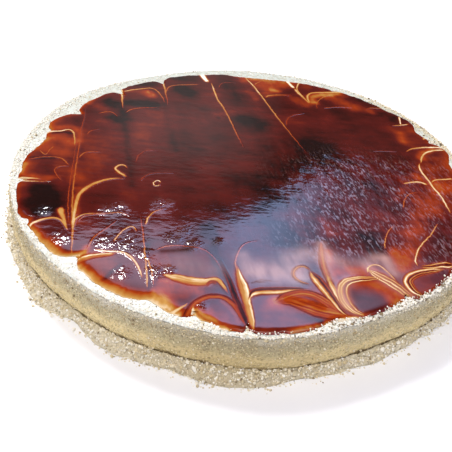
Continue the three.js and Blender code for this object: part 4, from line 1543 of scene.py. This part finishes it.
class CAKE_OT_wall_crumbs(bpy.types.Operator):
    """Crumbs pressed on the wall"""

    bl_idname = "cake.wall_crumbs"
    bl_label = "Wall crumbs"

    # Crumbs lie on the wall from this far below the heap's top, in millimetres, and not on flatter faces
    BEHIND_HEAP = 2
    FLATTEST = 0.95
    # Heights in millimetres between which they grow dense and dark, and between which they turn pale again
    DENSER = (11, 20)
    PALER = (22, 26)
    # Directions in degrees over which they turn paler at the right and back again, and heights for it
    RIGHT_START = (285, 310)
    RIGHT_END = (360, 340)
    RIGHT_HEIGHTS = (19, 24)
    # How dense they are low down, as a share of the densest
    LEAST_DENSE = 0.3
    # The darker shade in the dense part follows the wall's grey band, which is partly painted shade
    # Usual shade low down, and what is added in the dense part, at the top and at the right
    SHADE = 0.54
    DENSE_SHADE = -0.14
    TOP_SHADE = 0.2
    RIGHT_SHADE = 0.3
    # Spread of the shades and share of browned crumbs low down, both twice that in the dense part
    SPREAD = 0.08
    BROWNED_SHARE = 0.01
    BROWNED = 0.2
    SEED = 11

    def execute(self, context):
        crumbs = context.scene.cake_crumbs
        count = crumbs.wall_count
        rng = np.random.default_rng(self.SEED)

        def density(places, normals):
            height = places[:, 2]
            on_wall = (np.abs(normals[:, 2]) < self.FLATTEST) * (height > HEAP_TOP - self.BEHIND_HEAP)
            return on_wall * (self.LEAST_DENSE + (1 - self.LEAST_DENSE) * fade(height, *self.DENSER))

        places, normals = scatter(bpy.data.objects["crumbed_body"], count, density, rng)
        sizes = crumb_sizes(rng, count, crumbs.size / MM)
        x, y, z = places.T
        dense = fade(z, *self.DENSER)
        degrees = np.degrees(polar(x, y)[0])
        right = fade(degrees, *self.RIGHT_START) * fade(degrees, *self.RIGHT_END)
        shades = self.SHADE + self.DENSE_SHADE * dense + self.TOP_SHADE * fade(z, *self.PALER)
        shades += self.RIGHT_SHADE * right * fade(z, *self.RIGHT_HEIGHTS)
        shades += (self.SPREAD + self.SPREAD * dense) * rng.normal(size=count)
        darkened = rng.random(count) < self.BROWNED_SHARE + self.BROWNED_SHARE * dense
        shades = np.where(darkened, self.BROWNED, shades).clip(0, 1)
        piece = crumb_piece("wall_crumbs", places, normals, sizes, shades, rng)
        finish_piece(piece, loose_crumb_material())
        return {"FINISHED"}


class CAKE_OT_rim_crumbs(bpy.types.Operator):
    """Crumbs that stick to the cream's rim, thickest at the front right"""

    bl_idname = "cake.rim_crumbs"
    bl_label = "Rim crumbs"

    # Directions in degrees between which some lie on the glaze's edge, how many, and how far in they
    # usually are, in millimetres
    OVER_EDGE = (266, 332)
    STRAYS = 170
    STRAY_REACH = 0.35
    # Direction in degrees, and how thickly crumbs lie there
    THICKNESS = (
        (0, 0.6), (20, 0.75), (40, 0.6), (60, 0.35), (90, 0.2), (150, 0.2), (170, 0.3), (190, 0.3),
        (205, 0.2), (235, 0.16), (255, 0.4), (268, 0.8), (285, 1.0), (325, 0.9), (345, 0.6),
    )
    # Radii in millimetres between which they grow denser, how dense they are inside that, and how far
    # beyond the glaze they start
    DENSER = (131, 139)
    LEAST_DENSE = 0.15
    CLEAR_OF_GLAZE = 0.2
    # How far down faces may look that carry crumbs
    LEAST_UPRIGHT = -0.5
    # Their usual width as a share of the wall crumbs', mean and spread of the shades of floury and of
    # baked ones, and the shade of browned ones
    SIZE = 1.2
    FLOURY = (1.0, 0.07)
    BAKED = (0.6, 0.12)
    BROWNED = 0.08
    # Share of them that is baked, and that is browned, where they lie thickest
    BAKED_SHARE = 0.2
    BROWNED_SHARE = 0.05
    # Directions in degrees over which more are browned: its start, its end, and how many more
    MORE_BROWNED = (((286, 294), (326, 316), 0.2), ((8, 16), (58, 48), 0.1))
    # Directions in degrees over which all turn darker at the back right and back again, heights in
    # millimetres over which they turn darker towards the wall, and how much
    DARKER_START = (2, 12)
    DARKER_END = (66, 46)
    DARKER_HEIGHTS = (27, 25.5)
    DARKER = 0.3
    SEED = 12

    def execute(self, context):
        crumbs = context.scene.cake_crumbs
        rng = np.random.default_rng(self.SEED)
        top = GlazeTop()

        def density(places, normals):
            bearing, radius = polar(*places.T[:2])
            bare = radius - top.edge(bearing) > self.CLEAR_OF_GLAZE
            thick = by_direction(self.THICKNESS, np.degrees(bearing))
            thick *= self.LEAST_DENSE + fade(radius, *self.DENSER)
            return thick * bare * (normals[:, 2] > self.LEAST_UPRIGHT)

        places, normals = scatter(bpy.data.objects["white_cream_rim"], crumbs.rim_count, density, rng)
        bearing = np.radians(rng.uniform(*self.OVER_EDGE, self.STRAYS))
        inside = rng.exponential(self.STRAY_REACH, self.STRAYS)
        radius = top.edge(bearing) - inside
        x = radius * np.cos(bearing)
        y = radius * np.sin(bearing)
        strays = np.stack([x, y, top.rounded(top.surface(x, y), inside, bearing)], 1)
        places = np.vstack([places, strays])
        normals = np.vstack([normals, np.tile((0.0, 0.0, 1.0), (self.STRAYS, 1))])
        count = len(places)
        sizes = crumb_sizes(rng, count, self.SIZE * crumbs.size / MM)
        shades = rng.normal(*self.FLOURY, count)
        degrees = np.degrees(polar(*places.T[:2])[0])
        kind = rng.random(count) / by_direction(self.THICKNESS, degrees)
        shades = np.where(kind < self.BAKED_SHARE, rng.normal(*self.BAKED, count), shades)
        darkened = self.BROWNED_SHARE
        for start, end, more in self.MORE_BROWNED:
            darkened = darkened + more * fade(degrees, *start) * fade(degrees, *end)
        shades = np.where(kind < darkened, self.BROWNED, shades)
        shades -= self.DARKER * fade(degrees, *self.DARKER_START) * fade(degrees, *self.DARKER_END)
        shades = (shades - self.DARKER * fade(places[:, 2], *self.DARKER_HEIGHTS)).clip(0, 1)
        piece = crumb_piece("rim_crumbs", places, normals, sizes, shades, rng)
        finish_piece(piece, loose_crumb_material())
        return {"FINISHED"}


class CAKE_OT_heap_crumbs(bpy.types.Operator):
    """Loose crumbs on the heap at the foot"""

    bl_idname = "cake.heap_crumbs"
    bl_label = "Heap crumbs"

    # Crumbs lie outside this radius, in millimetres, and not on faces that look further down than this
    INNER = 139
    LEAST_UPRIGHT = -0.2
    # Those below this height have rolled out: usual way and longest way, in millimetres
    ROLLED_BELOW = 1.2
    ROLL = 1.1
    LONGEST_ROLL = 4
    # Their usual width as a share of the wall crumbs', mean and spread of their shades, and the shade and
    # share of browned ones
    SIZE = 1.5
    SHADES = (0.74, 0.22)
    BROWNED = 0.1
    BROWNED_SHARE = 0.02
    SEED = 13

    def execute(self, context):
        crumbs = context.scene.cake_crumbs
        count = crumbs.heap_count
        rng = np.random.default_rng(self.SEED)

        def density(places, normals):
            return (normals[:, 2] > self.LEAST_UPRIGHT) * (np.hypot(*places.T[:2]) > self.INNER)

        places, normals = scatter(bpy.data.objects["crumb_heap"], count, density, rng)
        rolled = rng.exponential(self.ROLL, count).clip(0, self.LONGEST_ROLL)
        rolled *= places[:, 2] < self.ROLLED_BELOW
        places[:, :2] *= (1 + rolled / np.hypot(*places.T[:2]))[:, None]
        places[:, 2] -= np.minimum(rolled, places[:, 2])
        sizes = crumb_sizes(rng, count, self.SIZE * crumbs.size / MM)
        shades = rng.normal(*self.SHADES, count)
        shades = np.where(rng.random(count) < self.BROWNED_SHARE, self.BROWNED, shades).clip(0, 1)
        piece = crumb_piece("heap_crumbs", places, normals, sizes, shades, rng)
        finish_piece(piece, loose_crumb_material())
        return {"FINISHED"}


def softbox(name, bearing, elevation, distance, size, radiance, colour):
    """An area light that faces the cake, of size (width, height) in metres, with its place in degrees."""
    light = bpy.data.lights.new(name, "AREA")
    light.shape = "RECTANGLE"
    light.size, light.size_y = size
    light.energy = radiance * math.pi * size[0] * size[1]
    light.color = colour
    holder = bpy.data.objects.new(name, light)
    bpy.context.scene.collection.objects.link(holder)
    b = math.radians(bearing)
    e = math.radians(elevation)
    away = Vector((math.cos(b) * math.cos(e), math.sin(b) * math.cos(e), math.sin(e)))
    facing = away.to_track_quat("Z", "Y").to_matrix().to_4x4()
    holder.matrix_world = Matrix.Translation(away * distance) @ facing
    holder.visible_camera = False


class CAKE_OT_stage(bpy.types.Operator):
    """Pale floor, soft lights, the room that the glaze mirrors, and the camera"""

    bl_idname = "cake.stage"
    bl_label = "Stage"

    # The camera looks at the middle of the base, then turns by these angles in degrees
    YAW = -1.2365
    PITCH = -1.9205
    ROLL = 5.4616
    # Width of its sensor in millimetres, and the nearest that it sees in metres
    SENSOR = 36
    NEAREST = 0.01
    # Radius of the floor in metres, and how many corners it has
    FLOOR_RADIUS = 12
    FLOOR_CORNERS = 96
    # Softboxes: name, bearing and elevation in degrees, distance and size in metres, radiance and colour
    LIGHTS = (
        ("key", 235, 60, 2.8, (1.8, 1.65), 4.1, (1.0, 0.97, 0.91)),
        ("fill", 305, 60, 2.8, (1.8, 1.65), 2.5, (1.0, 0.97, 0.91)),
        ("sparkle", 116, 50.5, 2.3, (0.38, 0.40), 70, (1.0, 1.0, 1.0)),
    )
    # Height of the window's sill, as the sine of its elevation, from the left end to the right end
    SILL = (
        (0.0, 0.61), (0.38, 0.606), (0.456, 0.6), (0.515, 0.586), (0.561, 0.574), (0.604, 0.554),
        (0.64, 0.528), (0.69, 0.518), (0.8, 0.522), (1.0, 0.56),
    )
    # How brightly the wall below the window is lit, from the left end to the right end
    WALL = ((0.0, 0.35), (0.16, 0.4), (0.27, 1.0), (0.42, 1.0), (0.5, 0.6), (0.57, 0.15), (1.0, 0.12))
    # Colour of the sky through the window, from the left end to the right end
    SKY_STRENGTH = 6.0
    SKY = (
        (0.0, (0.3, 0.28, 0.38)), (0.2, (0.56, 0.54, 0.74)), (0.33, (0.42, 0.42, 0.62)),
        (0.42, (0.34, 0.37, 0.6)), (0.5, (0.42, 0.55, 0.95)), (0.66, (0.44, 0.6, 1.0)),
        (0.76, (0.36, 0.4, 0.62)), (0.88, (0.22, 0.22, 0.34)), (1.0, (0.12, 0.12, 0.2)),
    )

    def make_floor(self):
        """Wide round floor under the cake."""
        bpy.ops.object.select_all(action="DESELECT")
        bpy.ops.mesh.primitive_circle_add(
            vertices=self.FLOOR_CORNERS, radius=self.FLOOR_RADIUS, fill_type="NGON"
        )
        floor = bpy.context.object
        floor.name = "floor"
        floor.data.materials.append(floor_material())

    def make_world(self):
        """Dim room with a pale wall low at the back left, and above it a tall window onto a clear sky.

        The window's sill climbs from the right to the left. Both are seen mirrored in the glaze.
        """
        world = bpy.data.worlds.new("studio room")
        bpy.context.scene.world = world
        world.use_nodes = True
        world.node_tree.nodes.clear()
        add = partial(add_node, world.node_tree)
        way = add("ShaderNodeTexCoord").outputs["Generated"]
        parts = add("ShaderNodeSeparateXYZ", {"Vector": way}).outputs
        wall = add(
            "ShaderNodeValToRGB", {"Fac": parts["Z"]},
            stops=(
                (0.15, (0.85, 0.85, 0.85)), (0.36, (0.4, 0.38, 0.38)), (0.45, (0.38, 0.36, 0.36)),
                (0.485, (0.58, 0.56, 0.57)), (0.52, (0.55, 0.53, 0.54)),
                (0.56, (0.2, 0.19, 0.2)), (0.6, (0.06, 0.06, 0.06)),
            ),
        )
        # Sideways from 0 at the left end of the window to 1 at its right end
        behind = add("ShaderNodeMath", {0: parts["Y"], 1: 0.05}, operation="MAXIMUM")
        slope = add("ShaderNodeMath", {0: parts["X"], 1: behind}, operation="DIVIDE")
        sideways = add("ShaderNodeMapRange", {"Value": slope, "From Min": -0.4, "From Max": 0.4})
        across = add(
            "ShaderNodeValToRGB", {"Fac": sideways},
            stops=[(place, (share, share, share)) for place, share in self.WALL],
        )
        room = add("ShaderNodeBackground", {"Color": wall, "Strength": across})
        sill = add(
            "ShaderNodeValToRGB", {"Fac": sideways},
            stops=[(place, (height, height, height)) for place, height in self.SILL],
        )
        above = add("ShaderNodeMath", {0: parts["Z"], 1: sill}, operation="SUBTRACT")
        inside = add("ShaderNodeMapRange", {"Value": above, "From Min": 0.0, "From Max": 0.012})
        below_top = add(
            "ShaderNodeValToRGB", {"Fac": parts["Z"]},
            stops=((0.62, (1, 1, 1)), (0.66, (0.88, 0.88, 0.88)), (0.72, (1, 1, 1)), (0.8, (0, 0, 0))),
        )
        shown = add("ShaderNodeMath", {0: inside, 1: below_top}, operation="MULTIPLY")
        sky_colour = add("ShaderNodeValToRGB", {"Fac": sideways}, stops=self.SKY)
        strength = add("ShaderNodeMath", {0: shown, 1: self.SKY_STRENGTH}, operation="MULTIPLY")
        sky = add("ShaderNodeBackground", {"Color": sky_colour, "Strength": strength})
        both = add("ShaderNodeAddShader", {0: room, 1: sky})
        add("ShaderNodeOutputWorld", {"Surface": both})

    def make_camera(self, stage):
        """Camera at the photo's viewpoint."""
        data = bpy.data.cameras.new("camera")
        data.sensor_width = self.SENSOR
        data.lens = stage.focal
        camera = bpy.data.objects.new("camera", data)
        bpy.context.scene.collection.objects.link(camera)
        back = Vector((0, -math.cos(stage.elevation), math.sin(stage.elevation)))
        turn = back.to_track_quat("Z", "Y").to_matrix().to_4x4()
        for angle, axis in ((-self.YAW, "Y"), (self.PITCH, "X"), (self.ROLL, "Z")):
            turn = turn @ Matrix.Rotation(math.radians(angle), 4, axis)
        camera.matrix_world = Matrix.Translation(back * stage.distance) @ turn
        data.clip_start = self.NEAREST
        bpy.context.scene.camera = camera

    def execute(self, context):
        self.make_floor()
        self.make_world()
        for light in self.LIGHTS:
            softbox(*light)
        self.make_camera(context.scene.cake_stage)
        context.scene.view_settings.view_transform = "Standard"
        return {"FINISHED"}


class CAKE_PT_panel(bpy.types.Panel):
    """Lists the pieces of the cake and their settings"""

    bl_idname = "CAKE_PT_panel"
    bl_label = "Biscuit cake"
    bl_space_type = "VIEW_3D"
    bl_region_type = "UI"
    bl_category = "Cake"

    def draw(self, context):
        for operator in OPERATORS:
            self.layout.operator(operator.bl_idname)
        for name, kind in SETTINGS.items():
            for setting in kind.__annotations__:
                self.layout.prop(getattr(context.scene, name), setting)


OPERATORS = (
    CAKE_OT_body, CAKE_OT_cream, CAKE_OT_glaze, CAKE_OT_feathering, CAKE_OT_heap,
    CAKE_OT_wall_crumbs, CAKE_OT_rim_crumbs, CAKE_OT_heap_crumbs, CAKE_OT_stage,
)
SETTINGS = {
    "cake_glaze": GlazeSettings,
    "cake_cream": CreamSettings,
    "cake_crumbs": CrumbSettings,
    "cake_stage": StageSettings,
}


def register():
    """Makes the operators, the panel and the settings known."""
    for kind in (*SETTINGS.values(), *OPERATORS, CAKE_PT_panel):
        bpy.utils.register_class(kind)
    for name, kind in SETTINGS.items():
        setattr(bpy.types.Scene, name, PointerProperty(type=kind))


def unregister():
    """Takes back what register made known."""
    for name in SETTINGS:
        delattr(bpy.types.Scene, name)
    for kind in (CAKE_PT_panel, *reversed(OPERATORS), *SETTINGS.values()):
        bpy.utils.unregister_class(kind)


def main():
    """Makes every piece and the stage."""
    register()
    for operator in OPERATORS:
        group, name = operator.bl_idname.split(".")
        getattr(getattr(bpy.ops, group), name)()


if __name__ == "__main__":
    main()
